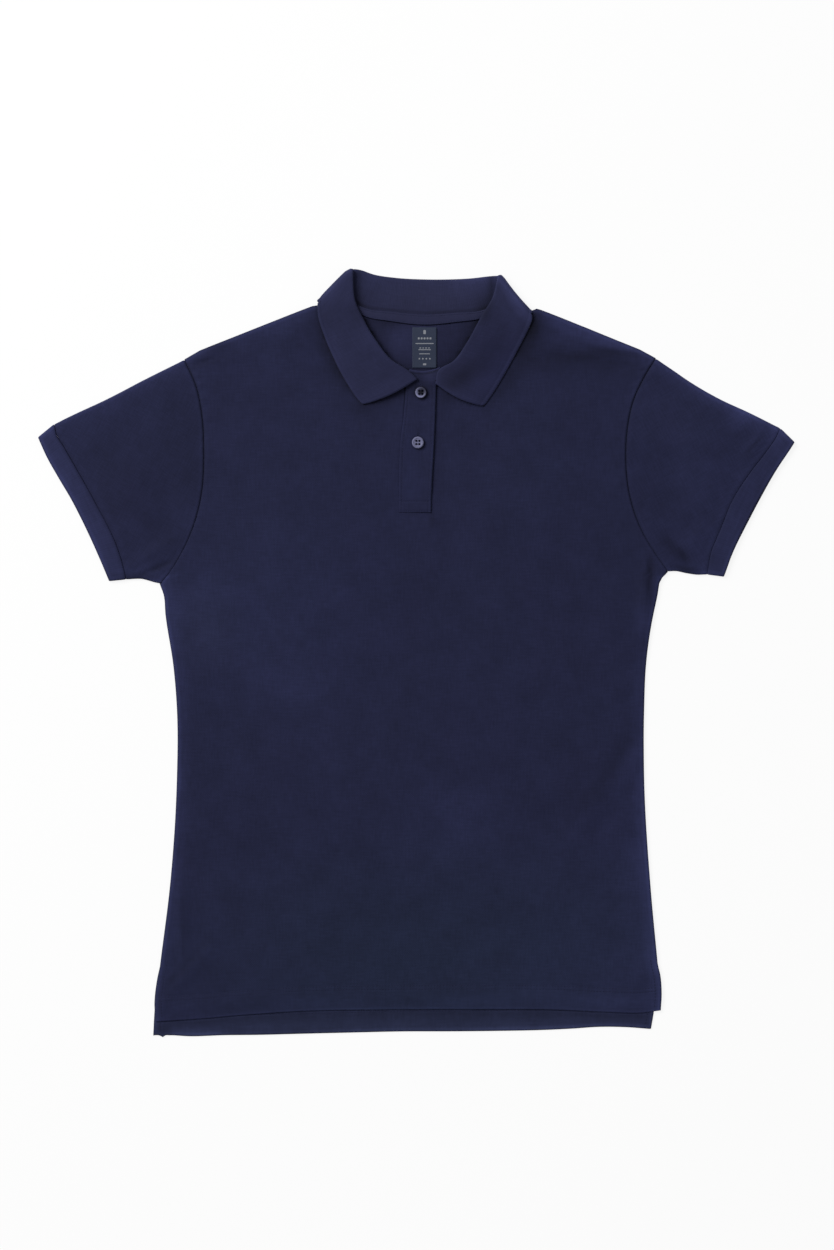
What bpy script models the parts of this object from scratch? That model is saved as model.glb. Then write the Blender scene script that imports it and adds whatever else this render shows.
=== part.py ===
"""A women's-fit short-sleeved polo shirt, laid flat on its back.

Every length below is in millimetres. X runs to the viewer's right, Y towards the collar and Z up from the
surface the shirt lies on. Left and right are the viewer's. Each cloth piece is the middle surface of its
wall, given its thickness by a Solidify modifier.
"""

import math
from collections import namedtuple

import bmesh
import bpy
import numpy as np

MM = 0.001

# Walls and clearances.
WALL = 1.2  # pique knit of the body and the sleeves
RIB_WALL = 1.6  # rib knit of the cuffs
COLLAR_WALL = 1.4  # flat knit of the collar
BAND_WALL = 1.4  # the placket's two doubled bands
TAPE_WALL = 0.8
LABEL_WALL = 0.7
SEAM_GAP = 0.3  # between pieces that are sewn or lie together
HALF_SEAM = 0.3  # how far each piece stops short of an armhole or cuff seam
LAYER_AIR = 0.6  # between the upper and the lower layer of the flat shirt
HEIGHT_CENTRE_Y = 300.0
NECK_CENTRE_X = 7.5

# Grid sizes.
SIDE_ROWS = 18  # from the front hem up to the armpit
BACK_SIDE_ROWS = 10
ARMHOLE_ROWS = 12  # from the armpit up to the shoulder tip, shared by the body and the sleeves
SLEEVE_COLUMNS = 8
CUFF_COLUMNS = 2
EDGE_STEPS = 3  # round the folded edge of a sleeve or a cuff
FRONT_STATIONS = 8  # of the collar, from its front end to the shoulder
BACK_STATIONS = 12
TURN_STATIONS = 4  # where the collar turns over at the shoulder
CENTRE_FRONT_COLUMNS = 3  # of the front's neckline, between the collar's two ends

# Marks along the seams and edges of the flat shirt. Each is x, y.
SIDE_SEAM_LEFT = [(-220, -268), (-211, -195), (-205.6, -110), (-205.4, -50), (-208.5, -11), (-215.4, 34),
                  (-217, 51), (-220.5, 60)]
SIDE_SEAM_RIGHT = [(207.1, -266), (201, -200), (195.6, -110), (195.5, -50), (197.6, -5), (201.6, 24),
                   (207.5, 53), (209.2, 62.5), (216.5, 70.4)]
FRONT_VENT_LEFT = [(-223.9, -316.5), (-224.8, -300), (-223, -283)]
FRONT_VENT_RIGHT = [(209.9, -306.8), (210.6, -293), (209.7, -278)]
BACK_VENT_LEFT = [(-226.2, -328.6), (-225, -306), (-223, -283)]
BACK_VENT_RIGHT = [(201.8, -322.5), (204.2, -308), (206.3, -288)]
ARMHOLE_LEFT = [(-220.5, 60), (-213, 68.5), (-201.5, 87), (-190, 114), (-184, 141), (-182.6, 174),
                (-184, 204), (-189.5, 230.5), (-199.3, 252.4)]
ARMHOLE_RIGHT = [(216.5, 70.4), (206, 85), (191, 112), (183.3, 137), (180.3, 165), (181.2, 190),
                 (187, 218), (195, 235.5), (205.8, 253.4)]
SHOULDER_LEFT = [(-199.3, 252.4), (-186, 260), (-163.7, 269), (-136, 280), (-110.6, 290), (-96, 295.6),
                 (-87.4, 298.8), (-83, 298.6), (-81, 299.8), (-72, 302.4), (-62.4, 304.8)]
SHOULDER_RIGHT = [(77.6, 303.9), (86, 298.4), (94.4, 291.4), (97.4, 288.9), (100.4, 290.6), (105, 295.4),
                  (112, 293.2), (126.5, 287.4), (147, 279.2), (170, 269.8), (191.8, 261), (205.8, 253.4)]
FRONT_HEM = [(-223.9, -316.5), (-199, -315), (-142, -310.3), (-101, -307.6), (-30, -306.2), (55, -305.9),
             (124, -306.4), (164, -308.3), (195, -308.7), (209.9, -306.8)]
BACK_HEM = [(-226.2, -328.6), (-218, -329.6), (-212, -327.6), (-171, -327.3), (-100, -326), (-14, -324.4),
            (72, -322.7), (156, -320.6), (201.8, -322.5)]
SLEEVE_TOP_LEFT = [(-199.3, 252.4), (-229, 237.6), (-267.3, 217.8), (-296, 204.6), (-311.2, 197)]
SLEEVE_TOP_RIGHT = [(205.8, 253.4), (219.7, 244), (235.4, 233.2), (262, 218), (285, 207.4), (313, 193.4)]
UNDERARM_LEFT = [(-220.5, 60), (-226.5, 61.4), (-235.6, 63.7), (-249.4, 63.4)]
UNDERARM_RIGHT = [(216.5, 70.4), (223.4, 70.6), (232.2, 68.8), (241, 67.5), (249.9, 67.6)]
CUFF_SEAM_LEFT = [(-249.4, 63.4), (-252.7, 78), (-258, 95), (-274.2, 126.4), (-289.2, 153.3), (-303, 177.5),
                  (-309.6, 189), (-311.2, 197)]
CUFF_SEAM_RIGHT = [(249.9, 67.6), (253.7, 87.7), (259.3, 102), (271.9, 134), (287, 157), (301, 174.5),
                   (310, 187), (313, 193.4)]
CUFF_END_LEFT = [(-263.5, 62), (-271.1, 80), (-285.7, 112), (-296.7, 133.4), (-307.6, 151.8),
                 (-317.2, 168.9), (-324.9, 186)]
CUFF_END_RIGHT = [(263.8, 65.8), (273.9, 90.6), (284.9, 112.6), (295.8, 133.4), (306.8, 153.1),
                  (321, 175.5), (324.9, 181.8)]
CUFF_RIGHT_SLIP = 3.6  # the right cuff's lower layer shows this far past its upper one, halfway along

# The collar: one row for each station, with where its seam, its roll and its leaf's edge lie, and how far
# they stand above the front panel's level.
FrontStation = namedtuple("FrontStation", "seam_x seam_y roll_x roll_y edge_x edge_y seam_up roll_up edge_up")
BackStation = namedtuple("BackStation", "seam_x seam_y roll_x roll_y edge_x edge_y")
COLLAR_LEFT = [
    FrontStation(-5.5, 233.5, 1.4, 235.4, -45.6, 214.0, 3.4, 4.5, 2.1),
    FrontStation(-12.5, 238.0, -5.0, 242.8, -51.5, 220.0, 3.2, 4.5, 2.0),
    FrontStation(-27.0, 247.0, -20.0, 253.1, -61.5, 234.5, 1.0, 4.0, 1.9),
    FrontStation(-43.5, 262.5, -34.7, 268.1, -71.6, 251.7, 0.0, 3.7, 1.9),
    FrontStation(-55.0, 281.0, -45.4, 286.0, -79.2, 270.5, 0.0, 3.4, 2.1),
    FrontStation(-59.2, 296.0, -51.4, 306.0, -83.3, 288.5, 0.0, 3.1, 2.4),
    FrontStation(-60.0, 306.5, -53.9, 329.0, -82.3, 299.6, 0.0, 2.9, 2.7),
]
COLLAR_BACK = [
    BackStation(-60.0, 306.5, -53.9, 329.0, -82.3, 299.6),
    BackStation(-57.0, 298.5, -47.5, 328.2, -69.0, 293.0),
    BackStation(-45.0, 290.1, -36.0, 325.6, -47.0, 286.3),
    BackStation(-22.0, 285.4, -17.0, 322.8, -22.0, 283.2),
    BackStation(7.0, 282.3, 7.0, 321.5, 7.0, 281.5),
    BackStation(34.0, 284.6, 31.0, 321.6, 36.0, 282.5),
    BackStation(58.0, 288.6, 49.0, 322.6, 62.0, 285.6),
    BackStation(71.0, 296.0, 61.0, 324.0, 82.0, 287.6),
    BackStation(75.0, 305.6, 69.2, 324.2, 96.8, 289.8),
]
COLLAR_RIGHT = [
    FrontStation(75.0, 305.6, 69.2, 324.2, 96.8, 289.8, 0.0, 2.9, 2.7),
    FrontStation(73.0, 296.5, 64.0, 306.0, 95.8, 286.0, 0.0, 3.1, 2.5),
    FrontStation(68.6, 286.6, 57.6, 291.6, 92.6, 279.4, 0.0, 3.3, 2.3),
    FrontStation(52.9, 261.6, 44.2, 266.6, 83.5, 258.6, 0.0, 3.7, 2.1),
    FrontStation(37.3, 244.6, 31.0, 251.0, 74.0, 239.6, 0.4, 3.8, 1.9),
    FrontStation(29.0, 237.0, 22.0, 242.8, 65.8, 225.2, 1.0, 3.6, 1.9),
    FrontStation(25.2, 231.5, 18.8, 232.8, 58.8, 212.8, 1.8, 3.2, 2.1),
]
ROLL_RADIUS = 0.95  # of the wall's middle, where the stand turns over into the leaf
STAND_STEPS, ROLL_STEPS, LEAF_STEPS = 3, 4, 6
LEAF_CROWN = 0.8  # how far the leaf's middle bows up
UNDER_LEAF_LEVEL = COLLAR_WALL / 2  # the leaf's middle surface behind the neck, on the floor
BACK_ROLL_LEVEL = UNDER_LEAF_LEVEL + ROLL_RADIUS
NECK_GAP = 0.55  # between the collar's seam edge and the panels, in plan

# Where the collar's leaf lies under the shirt's back, that back and the front rise by LEAF_LIFT.
LEAF_LIFT = COLLAR_WALL + 0.35
LEAF_HALF_WIDTH = 95.0
LEAF_LOW_Y, LEAF_SIDE_RISE = 278.0, 13.0
LIFT_FADE = 38.0

# The placket: its two side edges at each level, and its bands.
Level = namedtuple("Level", "y left right")
PLACKET = [Level(242.0, -3.4, 18.4), Level(231.0, -9.0, 17.0), Level(206.0, -10.8, 16.1),
           Level(177.0, -14.0, 14.9), Level(150.0, -14.8, 13.4), Level(133.0, -14.9, 12.7),
           Level(121.2, -14.9, 12.6)]
SLIT_INSET = 2.6  # how far the front's slit lies inside the upper band's edges
FREE_EDGE_RISE = 0.9  # the upper band's open edge stands off the shirt

Button = namedtuple("Button", "name x y")
BUTTONS = [Button("button_1", 3.8, 224.0), Button("button_2", 1.3, 181.0)]
BUTTON_DIAMETER, BUTTON_HEIGHT = 10.2, 2.2
BUTTON_RIM, BUTTON_DISH = 1.5, 0.5
BUTTON_HOLE, BUTTON_HOLE_PITCH = 1.3, 2.5

TAPE_WIDTH_MIDDLE, TAPE_WIDTH_END = 8.6, 6.0
TAPE_LEFT_X, TAPE_RIGHT_X = -47.5, 57.5
LABEL_LEFT, LABEL_RIGHT, LABEL_TOP, LABEL_BOTTOM = -4.0, 18.1, 281.0, 245.4

# Air under the upper layer: soft swells, and folds along a line. A fold's height may be below 0, a trough.
Swell = namedtuple("Swell", "x y half_width half_length height")
SWELLS = [
    Swell(-95, 60, 95, 150, 1.7),
    Swell(95, 110, 85, 130, 1.5),
    Swell(-20, -110, 150, 120, 1.6),
    Swell(-90, -245, 90, 60, 0.9),
    Swell(100, -235, 85, 65, 1.0),
    Swell(-248, 140, 38, 62, 1.5),
    Swell(246, 140, 38, 60, 1.5),
]
Fold = namedtuple("Fold", "x1 y1 x2 y2 half_width height")
FOLDS = [
    Fold(90, 243, 198, 250, 15, -1.0),
    Fold(-190, 262, -150, 255, 14, 0.9),
    Fold(-150, 95, -60, -45, 26, 1.0),
    Fold(-205, 70, -160, 20, 13, 1.1),
    Fold(200, 75, 196, 25, 12, 1.3),
    Fold(-245, 74, -207, 96, 10, 1.0),
    Fold(192, -85, 137, -150, 18, 0.9),
    Fold(-218, -300, -172, -245, 14, 0.9),
    Fold(-202, -195, -199, -280, 9, 0.8),
    Fold(14, 119, 15, 107, 6, 1.0),
    Fold(300, 190, 284, 170, 8, 1.0),
    Fold(222, 84, 268, 120, 14, 0.9),
]


def spline(marks, steps=24):
    """A smooth line through the marks, of any number of columns, with steps points between each two."""
    marks = np.array(marks, float)
    reach = np.concatenate([[0], np.cumsum(np.linalg.norm(np.diff(marks, axis=0), axis=1))])
    slope = np.gradient(marks, reach, axis=0, edge_order=1)
    line = [marks[:1]]
    for i in range(len(marks) - 1):
        span = reach[i + 1] - reach[i]
        t = (np.arange(1, steps + 1) / steps)[:, None]
        line.append(
            (2 * t**3 - 3 * t**2 + 1) * marks[i]
            + (t**3 - 2 * t**2 + t) * span * slope[i]
            + (3 * t**2 - 2 * t**3) * marks[i + 1]
            + (t**3 - t**2) * span * slope[i + 1]
        )
    return np.concatenate(line)


def shares(line):
    """How far along the line each point is, from 0 to 1."""
    reach = np.concatenate([[0], np.cumsum(np.linalg.norm(np.diff(line, axis=0), axis=1))])
    return reach / reach[-1]


def points_along(marks, at):
    """The points of the smooth line through the marks, at those shares of its length."""
    line = spline(marks)
    reach = shares(line)
    return np.stack([np.interp(at, reach, column) for column in line.T], axis=1)


def evenly(marks, steps):
    return points_along(marks, np.linspace(0, 1, steps + 1))


def soft_step(t):
    t = np.clip(t, 0, 1)
    return t * t * (3 - 2 * t)


def leaf_lift(x, y):
    """How far the shirt is raised by the collar's leaf beneath it."""
    across = np.abs(x - NECK_CENTRE_X)
    low = LEAF_LOW_Y + LEAF_SIDE_RISE * np.minimum(across / LEAF_HALF_WIDTH, 1) ** 2
    away = np.hypot(np.maximum(low - y, 0), np.maximum(across - LEAF_HALF_WIDTH, 0))
    return LEAF_LIFT * (1 - soft_step(away / LIFT_FADE))


def swell_height(swell, x, y):
    away = np.hypot((x - swell.x) / swell.half_width, (y - swell.y) / swell.half_length)
    return swell.height * (1 - soft_step(away))


def fold_height(fold, x, y):
    along = np.array([fold.x2 - fold.x1, fold.y2 - fold.y1], float)
    share = np.clip(((x - fold.x1) * along[0] + (y - fold.y1) * along[1]) / (along @ along), 0, 1)
    away = np.hypot(x - fold.x1 - share * along[0], y - fold.y1 - share * along[1])
    taper = 0.35 + 0.65 * np.sin(math.pi * share)
    return fold.height * taper * (1 - soft_step(away / fold.half_width))


def air(x, y):
    """The gap between the shirt's two layers."""
    swells = sum(swell_height(swell, x, y) for swell in SWELLS)
    folds = sum(fold_height(fold, x, y) for fold in FOLDS)
    return LAYER_AIR + np.maximum(swells + folds, 0)


def back_level(x, y):
    """Height of the middle of the lower layer's wall."""
    return WALL / 2 + leaf_lift(x, y)


def front_level(x, y):
    """Height of the middle of the upper layer's wall."""
    return back_level(x, y) + WALL + air(x, y)


def patch(left, right, bottom, top):
    """The grid between four lines. Its rows run from left to right, and the first row is the bottom."""
    up = (shares(left) + shares(right))[:, None, None] / 2
    along = (shares(bottom) + shares(top))[None, :, None] / 2
    sides = (1 - along) * left[:, None] + along * right[:, None]
    ends = (1 - up) * bottom[None] + up * top[None]
    corners = (1 - up) * ((1 - along) * left[0] + along * right[0]) + up * (
        (1 - along) * left[-1] + along * right[-1]
    )
    return sides + ends - corners


def at_same_width(marks, row):
    """Points on the line through the marks, at the same shares of its width as the points of row."""
    line = spline(marks)
    share = (row[:, 0] - row[0, 0]) / (row[-1, 0] - row[0, 0])
    x = line[0, 0] + share * (line[-1, 0] - line[0, 0])
    return np.stack([x, np.interp(x, line[:, 0], line[:, 1])], axis=1)


def raised(plan, level):
    """The plan's points with their height as a third column."""
    height = level(plan[..., 0], plan[..., 1])
    return np.concatenate([plan, height[..., None]], axis=-1)


def material(name, colour, roughness, metallic=0.0):
    made = bpy.data.materials.new(name)
    made.use_nodes = True
    shader = made.node_tree.nodes["Principled BSDF"]
    shader.inputs["Base Color"].default_value = (*colour, 1.0)
    shader.inputs["Roughness"].default_value = roughness
    shader.inputs["Metallic"].default_value = metallic
    return made


def add_object(name, mesh, collection, finish):
    piece = bpy.data.objects.new(name, mesh)
    piece.data.materials.append(finish)
    collection.objects.link(piece)
    return piece


def wall_object(name, grid, wall, collection, finish, ring=False):
    """A cloth piece from the grid of its middle surface. A ring's rows close on themselves."""
    rows, columns = grid.shape[:2]
    across = columns if ring else columns - 1
    shape = bmesh.new()
    corners = [[shape.verts.new(point) for point in row] for row in grid * MM]
    for r in range(rows - 1):
        for c in range(across):
            n = (c + 1) % columns
            shape.faces.new((corners[r][c], corners[r][n], corners[r + 1][n], corners[r + 1][c]))
    mesh = bpy.data.meshes.new(name)
    shape.to_mesh(mesh)
    shape.free()
    mesh.shade_smooth()
    piece = add_object(name, mesh, collection, finish)
    solid = piece.modifiers.new("Wall", "SOLIDIFY")
    solid.thickness = wall * MM
    solid.offset = 0
    return piece


def beside(line, gap):
    """The line moved sideways in plan by gap, to its right as it runs."""
    run = np.gradient(line[:, :2], axis=0)
    run /= np.linalg.norm(run, axis=1)[:, None]
    return line[:, :2] + gap * np.stack([run[:, 1], -run[:, 0]], axis=1)


def front_stations(rows):
    return evenly(rows, FRONT_STATIONS - 1)


def back_neckline():
    """The back panel's neck edge, from left to right, NECK_GAP below the collar's seam."""
    seam = evenly(COLLAR_BACK, BACK_STATIONS)[:, :2]
    return beside(seam, NECK_GAP)


def front_neckline():
    """The front panel's neck edge, from left to right."""
    left = front_stations(COLLAR_LEFT)[::-1, :2]
    right = front_stations(COLLAR_RIGHT)[:, :2][::-1]
    middle = np.linspace(left[-1], right[0], CENTRE_FRONT_COLUMNS + 1)[1:-1]
    return beside(np.concatenate([left, middle, right]), NECK_GAP)


def body_top(neckline):
    """The top edge of a body panel: shoulder, neckline, shoulder."""
    return np.concatenate([SHOULDER_LEFT, neckline[1:-1], SHOULDER_RIGHT])


def armhole(marks, side):
    """The armhole line, moved by HALF_SEAM towards side, -1 for left."""
    return beside(evenly(marks, ARMHOLE_ROWS), side * HALF_SEAM)


def body_edge(vent, side_seam, armhole_marks, side, rows):
    """A body panel's side edge, from its hem up to the shoulder tip. Its rows lie closer at vent and armpit."""
    at = np.linspace(0, 1, rows + 1)
    low = points_along(vent + side_seam, at - 0.62 * np.sin(2 * math.pi * at) / (2 * math.pi))
    return np.concatenate([low[:-1], armhole(armhole_marks, -side)])


def body_panel(vent_left, vent_right, hem, neckline, rows, level):
    top = body_top(neckline)
    left = body_edge(vent_left, SIDE_SEAM_LEFT, ARMHOLE_LEFT, -1, rows)
    right = body_edge(vent_right, SIDE_SEAM_RIGHT, ARMHOLE_RIGHT, 1, rows)
    top[0], top[-1] = left[-1], right[-1]
    bottom = at_same_width(hem, top)
    bottom[0], bottom[-1] = left[0], right[0]
    return raised(patch(left, right, bottom, top), level)


def tube(upper, lower):
    """Rings of a flat tube, from the grids of its two layers, whose rows run from the armhole to the hand.

    Each ring goes up the upper layer, round the top fold, down the lower layer and round the other fold.
    """
    rings = []
    for over, under in zip(upper, lower):
        ring = list(over)
        ring += fold_arc(over[-1], under[-1], over[-1] - over[-2])
        ring += list(under[::-1])
        ring += fold_arc(under[0], over[0], over[0] - over[1])
        rings.append(ring)
    return np.array(rings)


def fold_arc(start, end, outward):
    """The points between start and end, one above the other, on a half circle that bows outward."""
    centre, arm = (start + end) / 2, (start - end) / 2
    outward = np.array([outward[0], outward[1], 0.0])
    outward *= np.linalg.norm(arm) / np.linalg.norm(outward)
    angles = np.arange(1, EDGE_STEPS) * math.pi / EDGE_STEPS
    return [centre + math.cos(a) * arm + math.sin(a) * outward for a in angles]


def pulled_in(plan, inset):
    """The plan with the ends of each row moved in by inset, to leave room for the folded edges."""
    first, last = plan[:, 1] - plan[:, 0], plan[:, -2] - plan[:, -1]
    plan = plan.copy()
    plan[:, 0] += inset * first / np.linalg.norm(first, axis=1)[:, None]
    plan[:, -1] += inset * last / np.linalg.norm(last, axis=1)[:, None]
    return plan


def sleeve_rings(armhole_marks, cuff_marks, underarm, top, side):
    start = armhole(armhole_marks, side)
    end = beside(evenly(cuff_marks, ARMHOLE_ROWS), -side * HALF_SEAM)
    low, high = evenly(underarm, SLEEVE_COLUMNS), evenly(top, SLEEVE_COLUMNS)
    low[0], low[-1], high[0], high[-1] = start[0], end[0], start[-1], end[-1]
    plan = patch(low, high, start, end)
    plan = pulled_in(plan, (2 * WALL + LAYER_AIR) / 2)
    return tube(raised(plan, front_level), raised(plan, back_level))


def cuff_rings(seam_marks, end_marks, side, slip):
    """A cuff's rings, from its seam to its end. The upper layer stops slip short of the lower one."""
    seam = beside(evenly(seam_marks, ARMHOLE_ROWS), side * HALF_SEAM)
    end = evenly(end_marks, ARMHOLE_ROWS)
    share = np.linspace(0, 1, CUFF_COLUMNS + 1)[:, None, None]
    under = seam[None] * (1 - share) + end[None] * share
    short = slip * np.sin(math.pi * np.linspace(0, 1, ARMHOLE_ROWS + 1)) ** 2
    over_end = end - np.stack([side * short, 0.5 * short], axis=1) * 0.85
    over = seam[None] * (1 - share) + over_end[None] * share
    inset = (2 * RIB_WALL + LAYER_AIR) / 2
    flat = np.full(under.shape[:2] + (1,), RIB_WALL / 2)
    return tube(
        np.concatenate([pulled_in(over, inset), flat + RIB_WALL + LAYER_AIR], axis=-1),
        np.concatenate([pulled_in(under, inset), flat], axis=-1),
    )


def unit(vector):
    return vector / np.linalg.norm(vector)


def flat_vector(x, y, z=0.0):
    return np.array([x, y, z], float)


def outward_from_neck(start, end):
    """The level unit vector square to the line from start to end, pointing away from the neck's middle."""
    run = unit(end[:2] - start[:2])
    out = np.array([run[1], -run[0]])
    middle = (start[:2] + end[:2]) / 2 - np.array([NECK_CENTRE_X, HEIGHT_CENTRE_Y])
    return flat_vector(*(out if out @ middle > 0 else -out))


def collar_section(seam, roll, edge, over, crown):
    """A section of the collar: up the stand, round the roll, down the leaf. over points from stand to leaf."""
    away = roll - (seam + edge) / 2
    away = unit(flat_vector(away[0], away[1]))
    stand_top, leaf_top = roll - ROLL_RADIUS * over, roll + ROLL_RADIUS * over
    stand = [seam + (stand_top - seam) * s / STAND_STEPS for s in range(STAND_STEPS)]
    turn = [
        roll + ROLL_RADIUS * (math.sin(a) * away - math.cos(a) * over)
        for a in np.linspace(0, math.pi, ROLL_STEPS + 1)
    ]
    leaf = []
    for s in np.arange(1, LEAF_STEPS + 1) / LEAF_STEPS:
        bow = crown * math.sin(math.pi * s)
        leaf.append(leaf_top + (edge - leaf_top) * s + bow * over)
    return stand + turn + leaf


def roll_in(station):
    """The roll's centre in plan: the visible roll line less the roll's radius and half its wall."""
    seam, roll, edge = station[0:2], station[2:4], station[4:6]
    return roll - (ROLL_RADIUS + COLLAR_WALL / 2) * unit(roll - (seam + edge) / 2)


def front_controls(station):
    """Seam, roll centre and leaf edge of a front station, with their heights."""
    seam, roll, edge = station[0:2], roll_in(station), station[4:6]
    return [
        flat_vector(*place, front_level(*place) + up)
        for place, up in zip((seam, roll, edge), station[6:9])
    ]


def back_controls(station):
    seam, roll, edge = station[0:2], roll_in(station), station[4:6]
    return [
        flat_vector(*seam, back_level(*seam)),
        flat_vector(*roll, BACK_ROLL_LEVEL),
        flat_vector(*edge, UNDER_LEAF_LEVEL),
    ]


def turned_controls(front, back, angle):
    """The controls where the collar turns over at a shoulder, angle round from its front to its back."""
    beside_seam = outward_from_neck(front[0], front[1])
    beside_edge = outward_from_neck(front[1], front[2])
    outs = (beside_seam, unit(beside_seam + beside_edge), beside_edge)
    made = []
    for high, low, out in zip(front, back, outs):
        centre, radius = (high + low) / 2, (high[2] - low[2]) / 2
        made.append(centre + radius * (math.sin(angle) * out + math.cos(angle) * flat_vector(0, 0, 1)))
    over = math.sin(angle) * outs[1] + math.cos(angle) * flat_vector(0, 0, 1)
    return made, over


def collar_grid():
    up = flat_vector(0, 0, 1)
    left, right = front_stations(COLLAR_LEFT), front_stations(COLLAR_RIGHT)
    back = evenly(COLLAR_BACK, BACK_STATIONS)
    angles = np.arange(1, TURN_STATIONS) * math.pi / TURN_STATIONS
    sections = [collar_section(*front_controls(s), up, LEAF_CROWN) for s in left]
    for angle in angles:
        controls, over = turned_controls(front_controls(left[-1]), back_controls(back[0]), angle)
        sections.append(collar_section(*controls, over, LEAF_CROWN * (1 - angle / math.pi)))
    sections += [collar_section(*back_controls(s), -up, 0) for s in back]
    for angle in angles[::-1]:
        controls, over = turned_controls(front_controls(right[0]), back_controls(back[-1]), angle)
        sections.append(collar_section(*controls, over, LEAF_CROWN * (1 - angle / math.pi)))
    sections += [collar_section(*front_controls(s), up, LEAF_CROWN) for s in right]
    return np.array(sections)


def placket_rows(inset):
    """The placket's levels as rows of x and y, from the top down, drawn in by inset at both sides."""
    marks = points_along([(p.left + inset, p.y, p.right - inset, p.y) for p in PLACKET], np.linspace(0, 1, 13))
    across = np.linspace(0, 1, 5)[None, :, None]
    return marks[:, None, 0:2] * (1 - across) + marks[:, None, 2:4] * across


def upper_band_level(x, y):
    """Just over the front panel, with the free edge at the right a little off it."""
    free = soft_step((x - 4.0) / 12.0)
    return front_level(x, y) + WALL / 2 + SEAM_GAP + BAND_WALL / 2 + FREE_EDGE_RISE * free


def placket_upper_grid():
    return raised(placket_rows(0), upper_band_level)


def placket_under_grid():
    rows = placket_rows(SLIT_INSET + 1.5 * SEAM_GAP)
    rows = rows[:-1] + np.array([0.0, SLIT_INSET + 2 * SEAM_GAP])
    rows[0, :, 1] = PLACKET[0].y - 1.0
    return raised(rows, front_level)


def tape_grid():
    """The tape over the collar's back seam: its lower edge on the seam, its upper edge up the stand."""
    line = spline([row[0:2] for row in COLLAR_BACK])
    x = np.linspace(TAPE_LEFT_X, TAPE_RIGHT_X, 15)
    seam = np.stack([x, np.interp(x, line[:, 0], line[:, 1])], axis=1)
    bow = np.sin(np.linspace(0, math.pi, len(x)))
    width = TAPE_WIDTH_END + (TAPE_WIDTH_MIDDLE - TAPE_WIDTH_END) * bow
    edges = [seam + np.stack([0 * x, share * width], axis=1) for share in (0, 0.5, 1)]
    height = back_level(0, LEAF_LOW_Y + 12) + COLLAR_WALL / 2 + SEAM_GAP + TAPE_WALL / 2 + 0.1
    return raised(np.array(edges), lambda x, y: np.full(x.shape, height))


def label_grid():
    x, y = np.meshgrid(np.linspace(LABEL_LEFT, LABEL_RIGHT, 5), np.linspace(LABEL_BOTTOM, LABEL_TOP, 8))
    over = WALL / 2 + 1.5 * SEAM_GAP + LABEL_WALL / 2
    return raised(np.stack([x, y], axis=-1), lambda x, y: back_level(x, y) + over)


def cut(piece, cutter):
    made = piece.modifiers.new("Cut", "BOOLEAN")
    made.operation = "DIFFERENCE"
    made.object = cutter


def slit_cutter(cutters):
    """What cuts the placket's slit out of the front: the band's outline, drawn in, through the wall."""
    rows = placket_rows(SLIT_INSET)
    top = rows[:1] + np.array([0.0, 30.0])
    rows = np.concatenate([top, rows[:-1] + np.array([0.0, SLIT_INSET])])
    shape = bmesh.new()
    outline = np.concatenate([rows[:, 0], rows[::-1, -1]])
    base = [shape.verts.new((x * MM, y * MM, 0.0)) for x, y in outline]
    face = shape.faces.new(base)
    made = bmesh.ops.extrude_face_region(shape, geom=[face])
    lifted = [v for v in made["geom"] if isinstance(v, bmesh.types.BMVert)]
    bmesh.ops.translate(shape, verts=lifted, vec=(0, 0, 12 * MM))
    bmesh.ops.recalc_face_normals(shape, faces=shape.faces)
    mesh = bpy.data.meshes.new("slit_cutter")
    shape.to_mesh(mesh)
    shape.free()
    cutter = bpy.data.objects.new("slit_cutter", mesh)
    cutters.objects.link(cutter)
    cutter.hide_render = True
    cutter.display_type = "WIRE"
    return cutter


def hole_cutters(place, cutters):
    """Four pins through the button, joined in one mesh."""
    shape = bmesh.new()
    half = BUTTON_HOLE_PITCH / 2
    for dx in (-half, half):
        for dy in (-half, half):
            pin = bmesh.ops.create_cone(
                shape, cap_ends=True, segments=10, radius1=BUTTON_HOLE / 2 * MM,
                radius2=BUTTON_HOLE / 2 * MM, depth=3 * BUTTON_HEIGHT * MM)
            bmesh.ops.translate(shape, verts=pin["verts"], vec=(dx * MM, dy * MM, 0))
    mesh = bpy.data.meshes.new("hole_cutter")
    shape.to_mesh(mesh)
    shape.free()
    cutter = bpy.data.objects.new("hole_cutter", mesh)
    cutter.location = place
    cutters.objects.link(cutter)
    cutter.hide_render = True
    cutter.display_type = "WIRE"
    return cutter


def add_button(button, collection, cutters, finish):
    """A turned disc with a raised rim, a shallow dish and four holes."""
    radius, top = BUTTON_DIAMETER / 2, BUTTON_HEIGHT
    profile = [(0, top - BUTTON_DISH), (radius - BUTTON_RIM - 0.5, top - BUTTON_DISH),
               (radius - BUTTON_RIM, top - 0.1), (radius - 0.8, top), (radius - 0.2, top - 0.4),
               (radius, top - 1.0), (radius - 0.3, 0.5), (radius - 1.4, 0), (0, 0)]
    shape = bmesh.new()
    corners = [shape.verts.new((r * MM, 0, z * MM)) for r, z in profile]
    for a, b in zip(corners, corners[1:]):
        shape.edges.new((a, b))
    mesh = bpy.data.meshes.new(button.name)
    shape.to_mesh(mesh)
    shape.free()
    piece = add_object(button.name, mesh, collection, finish)
    under = upper_band_level(button.x + radius, button.y) + BAND_WALL / 2 + SEAM_GAP
    piece.location = (button.x * MM, button.y * MM, float(under) * MM)
    turn = piece.modifiers.new("Turn", "SCREW")
    turn.steps = turn.render_steps = 28
    turn.use_merge_vertices = True
    turn.merge_threshold = 0.00001
    cut(piece, hole_cutters(piece.location, cutters))


def clear_scene():
    for old in list(bpy.data.objects):
        bpy.data.objects.remove(old, do_unlink=True)


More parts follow.
